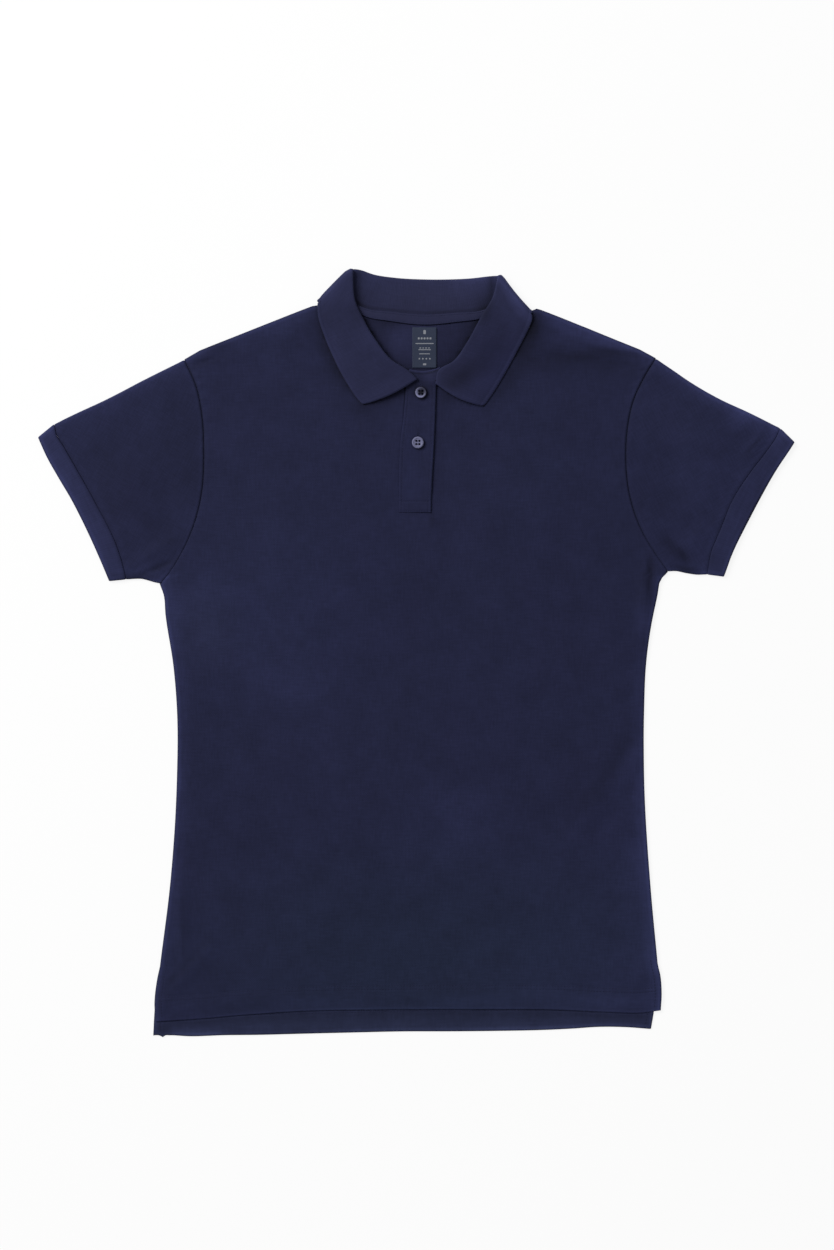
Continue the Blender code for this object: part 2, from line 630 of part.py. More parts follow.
def new_collection(name):
    made = bpy.data.collections.new(name)
    bpy.context.scene.collection.children.link(made)
    return made


def centre_on_origin(collection):
    """Moves the whole shirt so that the middle of its outline is over the origin."""
    bpy.context.view_layer.update()
    graph = bpy.context.evaluated_depsgraph_get()
    corners = []
    for piece in collection.objects:
        made = piece.evaluated_get(graph)
        corners += [made.matrix_world @ vertex.co for vertex in made.data.vertices]
    spots = np.array(corners)
    middle = (spots.min(axis=0) + spots.max(axis=0)) / 2
    for piece in bpy.data.objects:
        piece.location.x -= middle[0]
        piece.location.y -= middle[1]


def build():
    clear_scene()
    shirt = new_collection("polo_shirt")
    cutters = new_collection("cutters")
    pique = material("pique_knit", (0.018, 0.021, 0.052), 0.85)
    rib = material("rib_knit", (0.019, 0.022, 0.054), 0.88)
    tape = material("tape", (0.022, 0.025, 0.06), 0.8)
    cloth_label = material("label", (0.03, 0.042, 0.072), 0.6)
    button = material("button", (0.2, 0.2, 0.26), 0.3)

    wall_object("back", body_panel(BACK_VENT_LEFT, BACK_VENT_RIGHT, BACK_HEM, back_neckline(), BACK_SIDE_ROWS,
                                   back_level), WALL, shirt, pique)
    front = wall_object("front", body_panel(FRONT_VENT_LEFT, FRONT_VENT_RIGHT, FRONT_HEM, front_neckline(),
                                            SIDE_ROWS, front_level), WALL, shirt, pique)
    cut(front, slit_cutter(cutters))
    wall_object("sleeve_left", sleeve_rings(ARMHOLE_LEFT, CUFF_SEAM_LEFT, UNDERARM_LEFT, SLEEVE_TOP_LEFT, -1),
                WALL, shirt, pique, ring=True)
    wall_object("sleeve_right", sleeve_rings(ARMHOLE_RIGHT, CUFF_SEAM_RIGHT, UNDERARM_RIGHT,
                                             SLEEVE_TOP_RIGHT, 1), WALL, shirt, pique, ring=True)
    wall_object("cuff_left", cuff_rings(CUFF_SEAM_LEFT, CUFF_END_LEFT, -1, 0), RIB_WALL, shirt, rib, ring=True)
    wall_object("cuff_right", cuff_rings(CUFF_SEAM_RIGHT, CUFF_END_RIGHT, 1, CUFF_RIGHT_SLIP), RIB_WALL,
                shirt, rib, ring=True)
    wall_object("collar", collar_grid(), COLLAR_WALL, shirt, rib)
    wall_object("neck_tape", tape_grid(), TAPE_WALL, shirt, tape)
    wall_object("label", label_grid(), LABEL_WALL, shirt, cloth_label)
    wall_object("placket_under", placket_under_grid(), WALL, shirt, pique)
    wall_object("placket_upper", placket_upper_grid(), BAND_WALL, shirt, pique)
    for row in BUTTONS:
        add_button(row, shirt, cutters, button)
    centre_on_origin(shirt)


build()
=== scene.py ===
"""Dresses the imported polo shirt: knit shells on its solids, seams, stitching, buttons and label.

Lengths are in millimetres unless a name says otherwise. X runs to the viewer's right, Y towards the collar
and Z up from the floor. Left and right are the viewer's.
"""

import math
from collections import namedtuple

import bmesh
import bpy
import numpy as np
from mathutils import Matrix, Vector, noise


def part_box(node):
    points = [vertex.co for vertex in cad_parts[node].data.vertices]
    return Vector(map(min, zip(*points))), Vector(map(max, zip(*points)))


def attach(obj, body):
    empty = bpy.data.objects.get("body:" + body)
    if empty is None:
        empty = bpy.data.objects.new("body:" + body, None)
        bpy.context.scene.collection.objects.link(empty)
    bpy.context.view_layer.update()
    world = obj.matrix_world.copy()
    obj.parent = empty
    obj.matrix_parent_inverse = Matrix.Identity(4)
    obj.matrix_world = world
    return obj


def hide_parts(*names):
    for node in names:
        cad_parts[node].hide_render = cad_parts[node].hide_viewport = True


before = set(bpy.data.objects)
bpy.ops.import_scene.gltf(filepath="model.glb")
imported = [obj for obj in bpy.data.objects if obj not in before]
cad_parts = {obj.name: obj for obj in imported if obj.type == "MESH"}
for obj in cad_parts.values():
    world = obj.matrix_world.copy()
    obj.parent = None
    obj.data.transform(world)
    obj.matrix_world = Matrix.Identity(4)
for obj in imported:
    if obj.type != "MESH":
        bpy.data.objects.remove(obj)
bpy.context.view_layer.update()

MM = 0.001
ROOT = "root"
UP = np.array([0.0, 0.0, 1.0])


def table(kind, *rows):
    """The rows as tuples of one kind."""
    return [kind(*row) for row in rows]


# ------------------------------------------------------------
# The shirt's sizes, as in its solids, but for up to 3 mm at the collar, the neck beside it and the label.

WALL, RIB_WALL, COLLAR_WALL, BAND_WALL, TAPE_WALL = 1.2, 1.6, 1.4, 1.4, 0.8
SEAM_GAP, NECK_GAP, HALF_SEAM = 0.3, 0.55, 0.3
LAYER_AIR = 0.6
NECK_CENTRE_X, NECK_CENTRE_Y = 7.5, 300.0

SIDE_SEAM_LEFT = [(-220, -268), (-211, -195), (-205.6, -110), (-205.4, -50), (-208.5, -11), (-215.4, 34),
                  (-217, 51), (-220.5, 60)]
SIDE_SEAM_RIGHT = [(207.1, -266), (201, -200), (195.6, -110), (195.5, -50), (197.6, -5), (201.6, 24),
                   (207.5, 53), (209.2, 62.5), (216.5, 70.4)]
FRONT_VENT_LEFT = [(-223.9, -316.5), (-224.8, -300), (-223, -283)]
FRONT_VENT_RIGHT = [(209.9, -306.8), (210.6, -293), (209.7, -278)]
BACK_VENT_LEFT = [(-226.2, -328.6), (-225, -306), (-223, -283)]
BACK_VENT_RIGHT = [(201.8, -322.5), (204.2, -308), (206.3, -288)]
ARMHOLE_LEFT = [(-220.5, 60), (-213, 68.5), (-201.5, 87), (-190, 114), (-184, 141), (-182.6, 174),
                (-184, 204), (-189.5, 230.5), (-199.3, 252.4)]
ARMHOLE_RIGHT = [(216.5, 70.4), (206, 85), (191, 112), (183.3, 137), (180.3, 165), (181.2, 190),
                 (187, 218), (195, 235.5), (205.8, 253.4)]
SHOULDER_LEFT = [(-199.3, 252.4), (-186, 260), (-163.7, 269), (-136, 280), (-110.6, 290), (-96, 295.6),
                 (-87.4, 298.8), (-83, 298.6), (-81, 299.8), (-72, 302.4), (-62.4, 304.8)]
SHOULDER_RIGHT = [(77.6, 303.9), (86, 299.2), (93.5, 294.6), (97.4, 293.4), (100.4, 294.7), (103.8, 296.0),
                  (112, 293.0), (126.5, 287.4), (147, 279.2), (170, 269.8), (191.8, 261), (205.8, 253.4)]
FRONT_HEM = [(-223.9, -316.5), (-199, -315), (-142, -310.3), (-101, -307.6), (-30, -306.2), (55, -305.9),
             (124, -306.4), (164, -308.3), (195, -308.7), (209.9, -306.8)]
BACK_HEM = [(-226.2, -328.4), (-221.6, -328.4), (-219.6, -329.0), (-217.8, -330.0), (-216.2, -328.6),
            (-212, -328.4), (-196, -329.2), (-165, -328.3), (-135, -328.0), (-100, -327.1), (-50, -325.9),
            (-14, -325.1), (30, -325.0), (72, -324.6), (110, -323.8), (135, -322.6), (156, -321.2),
            (180, -321.4), (201.8, -323.0)]
SLEEVE_TOP_LEFT = [(-199.3, 252.4), (-229, 237.6), (-267.3, 217.8), (-296, 204.6), (-311.2, 197)]
SLEEVE_TOP_RIGHT = [(205.8, 253.4), (219.7, 244), (235.4, 233.2), (262, 218), (285, 207.4), (313, 193.4)]
UNDERARM_LEFT = [(-220.5, 60), (-226.5, 61.4), (-235.6, 63.7), (-249.4, 63.4)]
UNDERARM_RIGHT = [(216.5, 70.4), (223.4, 70.6), (232.2, 68.8), (241, 67.5), (249.9, 67.6)]
CUFF_SEAM_LEFT = [(-249.4, 63.4), (-252.9, 78), (-258.6, 95), (-274.2, 126.4), (-289.2, 153.3), (-303, 177.5),
                  (-309.6, 189), (-311.2, 197)]
CUFF_SEAM_RIGHT = [(249.9, 67.6), (253.7, 87.7), (259.6, 102), (272.9, 133.6), (288, 156.5), (301.6, 174.2),
                   (310, 187), (313, 193.4)]
CUFF_END_LEFT = [(-263.5, 62), (-271.1, 80), (-285.7, 112), (-296.7, 133.4), (-307.6, 151.8),
                 (-317.2, 168.9), (-324.9, 186)]
CUFF_END_RIGHT = [(263.8, 65.8), (273.9, 90.6), (284.9, 112.6), (295.8, 133.4), (306.8, 153.1),
                  (321, 175.5), (324.9, 181.8)]
CUFF_DEPTH = 14.0
CUFF_RIGHT_SLIP = 3.6

FrontStation = namedtuple("FrontStation", "seam_x seam_y roll_x roll_y edge_x edge_y seam_up roll_up edge_up")
BackStation = namedtuple("BackStation", "seam_x seam_y roll_x roll_y edge_x edge_y")
COLLAR_LEFT = table(
    FrontStation,
    (-5.5, 233.5, 1.4, 235.4, -45.9, 213.5, 2.8, 3.4, 1.1),
    (-12.5, 238.0, -5.6, 241.9, -51.0, 219.6, 2.7, 3.7, 1.15),
    (-27.0, 247.0, -20.9, 251.9, -60.5, 234.0, 1.0, 4.0, 1.4),
    (-43.5, 262.5, -34.2, 268.4, -69.3, 250.7, 0.0, 3.7, 1.5),
    (-55.0, 281.0, -44.8, 286.3, -77.8, 270.1, 0.0, 3.2, 1.6),
    (-59.2, 296.0, -53.0, 306.0, -83.9, 288.5, 0.0, 3.1, 2.1),
    (-60.0, 306.5, -54.6, 329.9, -84.4, 300.2, 0.0, 2.9, 2.7),
)
COLLAR_BACK = table(
    BackStation,
    (-60.0, 306.5, -53.2, 330.5, -81.6, 301.2), (-57.0, 298.5, -47.2, 329.4, -69.0, 294.0),
    (-45.0, 290.1, -36.0, 325.6, -47.0, 286.3), (-22.0, 285.4, -17.0, 322.8, -22.0, 283.2),
    (7.0, 282.3, 7.0, 321.5, 7.0, 281.5), (34.0, 284.6, 31.0, 321.6, 36.0, 282.5),
    (58.0, 288.6, 49.0, 322.6, 62.0, 285.6), (71.0, 296.0, 61.0, 324.0, 82.0, 288.6),
    (75.0, 305.6, 68.6, 324.6, 95.6, 292.6),
)
COLLAR_RIGHT = table(
    FrontStation,
    (75.0, 305.6, 70.2, 324.4, 99.2, 289.6, 0.0, 2.9, 2.7),
    (73.0, 296.5, 65.4, 306.0, 98.9, 285.6, 0.0, 3.1, 2.0),
    (68.6, 286.6, 57.0, 291.9, 96.0, 278.5, 0.0, 3.2, 1.5),
    (52.9, 261.6, 43.3, 267.0, 85.4, 257.8, 0.0, 3.6, 1.3),
    (37.3, 244.6, 31.2, 250.6, 75.1, 239.0, 0.4, 3.6, 1.2),
    (27.0, 237.0, 18.6, 242.8, 66.6, 224.7, 1.2, 3.4, 1.1),
    (24.0, 231.5, 15.6, 231.6, 57.8, 212.0, 2.0, 3.0, 1.1),
)
ROLL_RADIUS, LEAF_CROWN = 0.95, 0.8
UNDER_LEAF_LEVEL = COLLAR_WALL / 2
BACK_ROLL_LEVEL = UNDER_LEAF_LEVEL + ROLL_RADIUS
LEAF_LIFT = COLLAR_WALL + 0.35
LEAF_HALF_WIDTH, LEAF_LOW_Y, LEAF_SIDE_RISE, LIFT_FADE = 95.0, 278.0, 13.0, 38.0

Level = namedtuple("Level", "y left right")
PLACKET = table(
    Level,
    (242.0, -3.4, 18.4), (231.0, -9.0, 17.0), (206.0, -10.8, 16.1), (177.0, -14.0, 14.9),
    (150.0, -14.8, 13.4), (133.0, -14.9, 12.7), (121.2, -14.9, 12.6),
)
SLIT_INSET, SLIT_CUT_ABOVE, SLIT_CUT_HEIGHT = 2.6, 30.0, 14.0
FREE_EDGE_RISE = 0.9
BOX_STITCH_Y = 130.7

Button = namedtuple("Button", "name x y hole_top")
BUTTONS = table(
    Button,
    ("button_1", 3.8, 224.0, 231.6), ("button_2", 1.3, 181.0, 189.6),
)
BUTTON_DIAMETER, BUTTON_HEIGHT = 10.2, 2.2
BUTTON_RIM, BUTTON_DISH = 1.5, 0.5
BUTTON_HOLE, BUTTON_HOLE_PITCH = 1.9, 2.75

TAPE_WIDTH_MIDDLE, TAPE_WIDTH_END = 8.6, 6.0
TAPE_LEFT_X, TAPE_RIGHT_X = -51.0, 61.5
LABEL_LEFT, LABEL_RIGHT, LABEL_TOP, LABEL_BOTTOM = -3.4, 17.4, 280.1, 245.3

# The air between the two layers: broad swells, and soft folds along lines.
Swell = namedtuple("Swell", "x y half_width half_length height")
SWELLS = table(
    Swell,
    (-95, 60, 95, 150, 1.7), (95, 110, 85, 130, 1.5), (-20, -110, 150, 120, 1.6), (-90, -245, 90, 60, 0.9),
    (100, -235, 85, 65, 1.0), (-248, 140, 38, 62, 1.5), (246, 140, 38, 60, 1.5),
)
Fold = namedtuple("Fold", "x1 y1 x2 y2 half_width height")
FOLDS = table(
    Fold,
    (90, 243, 198, 250, 15, -1.0), (-190, 262, -150, 255, 14, 0.9), (-150, 95, -60, -45, 26, 1.0),
    (-205, 70, -160, 20, 13, 1.1), (200, 75, 196, 25, 12, 1.3), (-245, 74, -207, 96, 10, 1.0),
    (192, -85, 137, -150, 18, 0.9), (-218, -300, -172, -245, 14, 0.9), (-202, -195, -199, -280, 9, 0.8),
    (14, 119, 15, 107, 6, 1.0), (300, 190, 284, 170, 8, 1.0), (222, 84, 268, 120, 14, 0.9),
)

# ------------------------------------------------------------
# What this file adds. Sharp creases pressed into the upper layer, and ones on the underside.

CREASES = table(
    Fold,
    (201.6, 82, 200.4, 53, 3.4, -0.95), (207, 70, 206, 50, 4.0, 0.35), (-236, 67.5, -207, 80.5, 3.6, -0.75),
    (206, 107, 232, 80, 6.5, -0.5), (226, 90, 234, 77, 4.0, -0.5), (150, 262.5, 196, 254.5, 3.6, -0.6),
    (158, 252, 198, 246, 9.0, -0.5), (96, 250, 150, 262, 7.0, -0.35),
    (-198, 245.5, -172, 254.5, 4.0, -0.55), (-176, 254, -140, 268, 8.0, -0.4),
    (-246, 70, -207, 93, 4.6, -0.4), (-262, 141, -196, 139, 6.0, -0.22), (-256, 123, -190, 124, 5.0, 0.2),
    (-246, 106, -196, 108, 5.0, -0.2), (300, 190, 284, 171, 2.8, -0.55), (260.5, 150, 259, 122, 4.5, -0.35),
    (252, 112, 244, 98, 4.0, -0.3), (232, 188, 268, 160, 8.0, 0.3), (-286, 186, -250, 158, 9.0, 0.25),
    (14.4, 120.6, 15.6, 110.5, 2.4, -0.6), (-14, 120, -20, 108, 3.0, -0.25),
    (-216, 42, -176, 30, 6.0, -0.3), (-214, 24, -184, 4, 7.0, 0.3), (203, 40, 176, 10, 8.0, -0.3),
    (196, -30, 170, -42, 9.0, -0.25), (-205, -60, -178, -72, 9.0, 0.25),
    (-222, -296, -176, -243, 5.0, -0.3), (-201, -196, -198, -284, 3.6, -0.25),
    (206, -252, 182, -296, 9.0, 0.3), (-48, 207, -58, 190, 8.0, -0.25), (62, 206, 74, 186, 8.0, -0.25),
)
BACK_CREASES = table(
    Fold,
    (-188, 96, -120, 40, 10, 0.35), (184, 104, 122, 52, 10, 0.35), (-200, -60, -96, -84, 14, 0.3),
    (190, -40, 92, -72, 14, 0.3), (-60, 236, 72, 232, 16, 0.3), (-196, -240, -120, -300, 12, 0.3),
)
WRINKLE_SIZES = [(34.0, 0.20), (13.0, 0.07)]  # width and height of the small unevenness all over
CUFF_SEED, BAND_SEED, COLLAR_SEED = 3.0, 5.0, 7.0  # each piece takes its own unevenness

# The walls of the shells, and how far stitches lie over the cloth's face.
SKIN, RIB_SKIN, COLLAR_SKIN, BAND_SKIN, TAPE_SKIN, LABEL_SKIN = 1.0, 1.3, 1.2, 1.2, 0.6, 0.45
STITCH_OVER = 0.06

# Seams and edges.
EDGE_ROUND = 2.8  # how far in from a side or shoulder seam the cloth starts to turn down
SEAM_ROUND = 1.7  # the same at an armhole
CUFF_SEAM_ROUND = 2.6
SEAM_DIP, CLOSED_AIR = 1.0, 0.28
ARMPIT_STRENGTH, ARMPIT_SEAM_Y, ARMPIT_SEAM_FADE = 0.32, 72.0, 62.0
SEAM_SHADE, CUFF_SEAM_SHADE, CUFF_SEAM_WIDTH = 0.34, 0.1, 1.6
FOLD_SHOWS_FROM = 1.2  # how far from its outline a folded tube's surface turns into view
ARMPIT_Y = (ARMHOLE_LEFT[0][1] + ARMHOLE_RIGHT[0][1]) / 2 + 2
NECK_HALF_WIDTH = 62.0  # the shoulder seams start at this distance from the neck's middle
VENT_TOP_Y, VENT_EDGE_Y, VENT_STITCH_TOP_Y, VENT_STITCH_IN = -272.0, -276.0, -262.0, 5.5
HEM_WIDTH, HEM_STEP, HEM_ROWS = 20.0, 0.28, (17.6, 20.4)
OUT_OF_REACH = 99.0  # added to a distance where its border has no effect
Pucker = namedtuple("Pucker", "height pitch wander drift away width")
BODY_PUCKER = Pucker(0.24, 1.7, 2.2, 9.7, 3.4, 2.8)
SLEEVE_PUCKER = Pucker(0.22, 1.7, 2.0, 8.3, 3.4, 2.8)
CUFF_PUCKER = Pucker(0.2, 1.6, 1.7, 7.1, 3.4, 2.8)
HEM_PUCKER = Pucker(0.07, 1.9, 2.6, 13.0, 19.0, 5.0)

# The collar's ends, folds and corners.
LEFT_FOLD_SAG, RIGHT_FOLD_SAG = 0.2, 1.6  # how far the folds at the neck's sides sag in
FoldCorner = namedtuple("FoldCorner", "x y way_x way_y cut")  # its place, the way inward, and how much is cut
FOLD_CORNERS = table(
    FoldCorner,
    (-57.4, 331.2, 0.5, -0.87, 1.4), (72.8, 325.9, -0.35, -0.94, 0.8), (-84.6, 305.6, 0.7, -0.7, 0.5),
)
FOLD_CORNER_REACH = 3.2
EndBow = namedtuple("EndBow", "section step bow")  # a leaf's last section, the way into the leaf, and the bow
END_BOWS = table(EndBow, (0, 1, 2.5), (-1, -1, 2.9))
BOWED_SECTIONS = 12
CORNER_CUT, CORNER_CUT_REACH = 0.8, 2.2  # at the leaves' points

# The placket's upper end and its seams.
BAND_TOP = table(
    Level,
    (243.4, -9.5, 17.6), (238.0, -9.4, 17.4), (231.0, -9.2, 17.0),
)
NECK_DIP = [(-12, 243.4), (-6, 241.9), (0, 240.9), (6, 240.5), (12, 241.1), (18, 242.9), (24, 245.4),
            (30, 248.0)]
PLACKET_STITCH_IN, PLACKET_STITCH_TOP_Y, PLACKET_FOOT_Y = 2.2, 230.0, 122.4
BAND_PUCKER = Pucker(0.06, 1.25, 1.5, 6.0, PLACKET_STITCH_IN, 1.8)
BAND_WIDENS, BAND_WIDENS_Y, BAND_JOINS_Y = 8.5, 231.2, 228.0  # into the right leaf
UNDER_BAND_SHOWS, UNDER_BAND_WIDENS, UNDER_BAND_WIDENS_Y, UNDER_BAND_RISES_Y = 2.3, 5.5, 237.0, 215.0

# Grid sizes, and how much nearer together their lines are at the borders.
FRONT_COLUMNS, FRONT_ROWS = 168, 196
BACK_COLUMNS, BACK_ROWS = 120, 140
SLEEVE_ROUND, SLEEVE_ALONG, EDGE_STEPS = 56, 56, 7
CUFF_ALONG = 16
COLLAR_FRONT, COLLAR_BEHIND, COLLAR_TURN = 64, 90, 14
STAND_STEPS, ROLL_STEPS, LEAF_STEPS = 34, 8, 16
LEAF_EDGE_ROWS = (6.0, 4.8, 3.9, 3.2, 2.6, 2.1, 1.6, 1.1, 0.7, 0.35, 0.0)
UPPER_BAND_ROWS, UPPER_BAND_COLUMNS = 130, 36
UNDER_BAND_ROWS, UNDER_BAND_COLUMNS, UNDER_BAND_ROWS_LESS = 60, 18, 6  # it ends some rows above the placket
PANEL_EASE, BAND_EASE, TUBE_EASE, TAPE_EASE = 0.72, 0.6, 0.5, 0.4
BUTTON_STEPS = 72

# The stitches.
STITCH_PITCH, STITCH_LENGTH, STITCH_WIDTH, STITCH_HEIGHT = 2.6, 2.0, 0.5, 0.32
STITCH_RINGS = ((-1.0, 0.35), (-0.72, 0.85), (0.0, 1.0), (0.72, 0.85), (1.0, 0.35))  # place and thickness
STITCH_SIDES = 6
BUTTONHOLE_LENGTH, BUTTONHOLE_BAR_X, BUTTONHOLE_TACK_X = 13.0, 0.52, 1.2
STRAND_SIDES, STRAND_RADIUS, STRAND_ASIDE, STRAND_DROP = 7, 0.13, 0.14, 1.2  # a button's thread

# ------------------------------------------------------------
# Curves and levels.


def spline(marks, steps=24):
    """A smooth line through the marks, of any number of columns, with steps points between each two."""
    marks = np.array(marks, float)
    reach = reaches(marks)
    slope = np.gradient(marks, reach, axis=0, edge_order=1)
    t = (np.arange(1, steps + 1) / steps)[:, None]
    line = [marks[:1]]
    for i in range(len(marks) - 1):
        span = reach[i + 1] - reach[i]
        line.append(
            (2 * t**3 - 3 * t**2 + 1) * marks[i]
            + (t**3 - 2 * t**2 + t) * span * slope[i]
            + (3 * t**2 - 2 * t**3) * marks[i + 1]
            + (t**3 - t**2) * span * slope[i + 1]
        )
    return np.concatenate(line)


def reaches(line):
    """How far along the line each point is."""
    return np.concatenate([[0], np.cumsum(np.linalg.norm(np.diff(line, axis=0), axis=1))])


def row_reaches(grid):
    """How far along its row each point of a grid is."""
    steps = np.linalg.norm(np.diff(grid, axis=1), axis=2)
    return np.concatenate([np.zeros((len(grid), 1)), np.cumsum(steps, axis=1)], axis=1)


def shares(line):
    reach = reaches(line)
    return reach / reach[-1]


def on_line(line, at):
    """The line's points at those shares of its length."""
    reach = shares(line)
    return np.stack([np.interp(at, reach, column) for column in line.T], axis=1)


def height_of(marks, x):
    """The height at each x of the smooth line through the marks."""
    line = spline(marks)
    return np.interp(x, line[:, 0], line[:, 1])


def graded(count, ease):
    """Shares from 0 to 1, nearer together at both ends: evenly for an ease of 0, most for one near 1."""
    at = np.linspace(0, 1, count + 1)
    return at - ease * np.sin(2 * math.pi * at) / (2 * math.pi)


def unit(vector):
    return vector / np.linalg.norm(vector)


def soft_step(t):
    t = np.clip(t, 0, 1)
    return t * t * (3 - 2 * t)


def bump(away, width):
    """A bell: 1 where away is 0, and next to nothing from twice the width on."""
    return np.exp(-((away / width) ** 2))


def turned_down(away, reach):
    """1 at a seam and 0 from reach on, as a quarter of an ellipse."""
    near = np.clip(1 - away / reach, 0, 1)
    return 1 - np.sqrt(1 - near**2)


def puckered(pucker, along, away):
    """The ripples beside a seam. Their pitch drifts along it, and they are highest at pucker.away from it."""
    ripple = np.sin(along / pucker.pitch + pucker.wander * np.sin(along / pucker.drift))
    return pucker.height * ripple * bump(away - pucker.away, pucker.width)


def leaf_lift(x, y):
    """How far the collar's under leaf lifts the layers."""
    across = np.abs(x - NECK_CENTRE_X)
    low = LEAF_LOW_Y + LEAF_SIDE_RISE * np.minimum(across / LEAF_HALF_WIDTH, 1) ** 2
    away = np.hypot(np.maximum(low - y, 0), np.maximum(across - LEAF_HALF_WIDTH, 0))
    return LEAF_LIFT * (1 - soft_step(away / LIFT_FADE))


def swell_height(swell, x, y):
    """A round swell, highest at its middle."""
    away = np.hypot((x - swell.x) / swell.half_width, (y - swell.y) / swell.half_length)
    return swell.height * (1 - soft_step(away))


FOLD_END = 0.35  # of a fold's height is left at its ends


def fold_height(fold, x, y):
    """A soft ridge or trough along a line, highest or deepest halfway along it."""
    along = np.array([fold.x2 - fold.x1, fold.y2 - fold.y1], float)
    share = np.clip(((x - fold.x1) * along[0] + (y - fold.y1) * along[1]) / (along @ along), 0, 1)
    away = np.hypot(x - fold.x1 - share * along[0], y - fold.y1 - share * along[1])
    taper = FOLD_END + (1 - FOLD_END) * np.sin(math.pi * share)
    return fold.height * taper * (1 - soft_step(away / fold.half_width))


def all_folds(folds, x, y):
    return sum(fold_height(fold, x, y) for fold in folds)


def air(x, y):
    """How much air there is between the layers."""
    swells = sum(swell_height(swell, x, y) for swell in SWELLS)
    return LAYER_AIR + np.maximum(swells + all_folds(FOLDS, x, y), 0)


def back_level(x, y):
    return WALL / 2 + leaf_lift(x, y)


def front_level(x, y):
    return back_level(x, y) + WALL + air(x, y)


def unevenness(x, y, seed=0.0):
    """Small smooth wrinkles, the same at each run."""
    flat = np.stack([np.ravel(x), np.ravel(y)], axis=1)
    height = np.zeros(len(flat))
    for size, depth in WRINKLE_SIZES:
        height += depth * np.array([noise.noise(Vector((a / size, b / size * 0.8, seed))) for a, b in flat])
    return height.reshape(np.shape(x))


CREASES_STAY_APART, BACK_CREASE_SHARE = 0.05, 0.6  # the second is of the room between the layers


def creased(x, y):
    """The upper layer as it shows: its solid's level with the creases, kept clear of the lower layer."""
    room = front_level(x, y) - back_level(x, y) - SKIN - CREASES_STAY_APART
    return front_level(x, y) + np.maximum(all_folds(CREASES, x, y) + unevenness(x, y), -room)


def under_creased(x, y):
    """The lower layer as it shows. It stays on the floor, but for a few shallow creases."""
    room = front_level(x, y) - back_level(x, y) - SKIN
    folds = np.minimum(all_folds(BACK_CREASES, x, y), BACK_CREASE_SHARE * room)
    return back_level(x, y) - (WALL - SKIN) / 2 + folds


# ------------------------------------------------------------
# Meshes.

FAR = -12.0  # what the fourth tone is away from the collar's leaves

# How far the solids lie from the places above, as the first button's solid tells.
SHIFT = (np.array(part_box("button_1")[0]) + np.array(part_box("button_1")[1])) / 2 / MM
SHIFT = np.array([SHIFT[0] - BUTTONS[0].x, SHIFT[1] - BUTTONS[0].y, 0.0])


def linked(name, data):
    """A new object in the scene."""
    made = bpy.data.objects.new(name, data)
    bpy.context.scene.collection.objects.link(made)
    return made


def object_from(name, points, faces, finish, uvs=None, tones=None):
    """A mesh object from points in millimetres, with uvs in metres on the cloth and tones, per point.

    Tones are gains for red, green and blue, which paint light and shade, and in a fourth column how near a
    collar leaf is, for its painted shadow, as beside_leaf says.
    """
    mesh = bpy.data.meshes.new(name)
    mesh.from_pydata([tuple(p) for p in (points + SHIFT) * MM], [], faces)
    mesh.validate()
    mesh.shade_smooth()
    corner = np.empty(len(mesh.loops), np.int32)
    mesh.loops.foreach_get("vertex_index", corner)
    if uvs is not None:
        layer = mesh.uv_layers.new(name="Cloth")
        layer.uv.foreach_set("vector", (uvs[corner]).astype(np.float32).ravel())
    layer = mesh.color_attributes.new(name="Tone", type="FLOAT_COLOR", domain="POINT")
    rgba = np.tile(np.array([1, 1, 1, FAR], np.float32), (len(points), 1))
    if tones is not None:
        rgba[:, :tones.shape[1]] = tones
    layer.data.foreach_set("color", rgba.ravel())
    mesh.materials.append(finish)
    return linked(name, mesh)


def grid_faces(rows, columns, ring=False):
    faces = []
    for r in range(rows - 1):
        for c in range(columns if ring else columns - 1):
            n = (c + 1) % columns
            faces.append((r * columns + c, r * columns + n, (r + 1) * columns + n, (r + 1) * columns + c))
    return faces


def tube_faces(start, rings, sides):
    """The faces round a tube of rings of points, from the point start on, and its two ends."""
    faces = []
    for a in range(start, start + (rings - 1) * sides, sides):
        b = a + sides
        faces += [(a + k, a + (k + 1) % sides, b + (k + 1) % sides, b + k) for k in range(sides)]
    last = start + (rings - 1) * sides
    faces.append(tuple(start + sides - 1 - k for k in range(sides)))
    faces.append(tuple(last + k for k in range(sides)))
    return faces


def shell(name, grid, wall, finish, uvs=None, tones=None, ring=False):
    """A cloth piece from the grid of its middle surface."""
    rows, columns = grid.shape[:2]
    uvs = grid[..., :2] * MM if uvs is None else uvs
    tones = None if tones is None else tones.reshape(-1, tones.shape[-1])
    faces = grid_faces(rows, columns, ring)
    piece = object_from(name, grid.reshape(-1, 3), faces, finish, uvs.reshape(-1, 2), tones)
    solid = piece.modifiers.new("Wall", "SOLIDIFY")
    solid.thickness = wall * MM
    solid.offset = 0
    return piece


def cut_out(piece, cutter):
    """Takes the cutter's form out of the piece, with the piece's modifiers made part of its mesh."""
    step = piece.modifiers.new("Cut", "BOOLEAN")
    step.operation = "DIFFERENCE"
    step.object = cutter
    bpy.context.view_layer.update()
    graph = bpy.context.evaluated_depsgraph_get()
    made = bpy.data.meshes.new_from_object(piece.evaluated_get(graph), depsgraph=graph)
    piece.modifiers.clear()
    piece.data = made
    bpy.data.objects.remove(cutter)


def tagged(piece, slot, *nodes):
    """The piece rides on the shirt and stands for nodes. Its slot is not used."""
    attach(piece, ROOT)
    if nodes:
        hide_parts(*nodes)
    return piece


def width_shares(row):
    return (row[:, 0] - row[0, 0]) / (row[-1, 0] - row[0, 0])


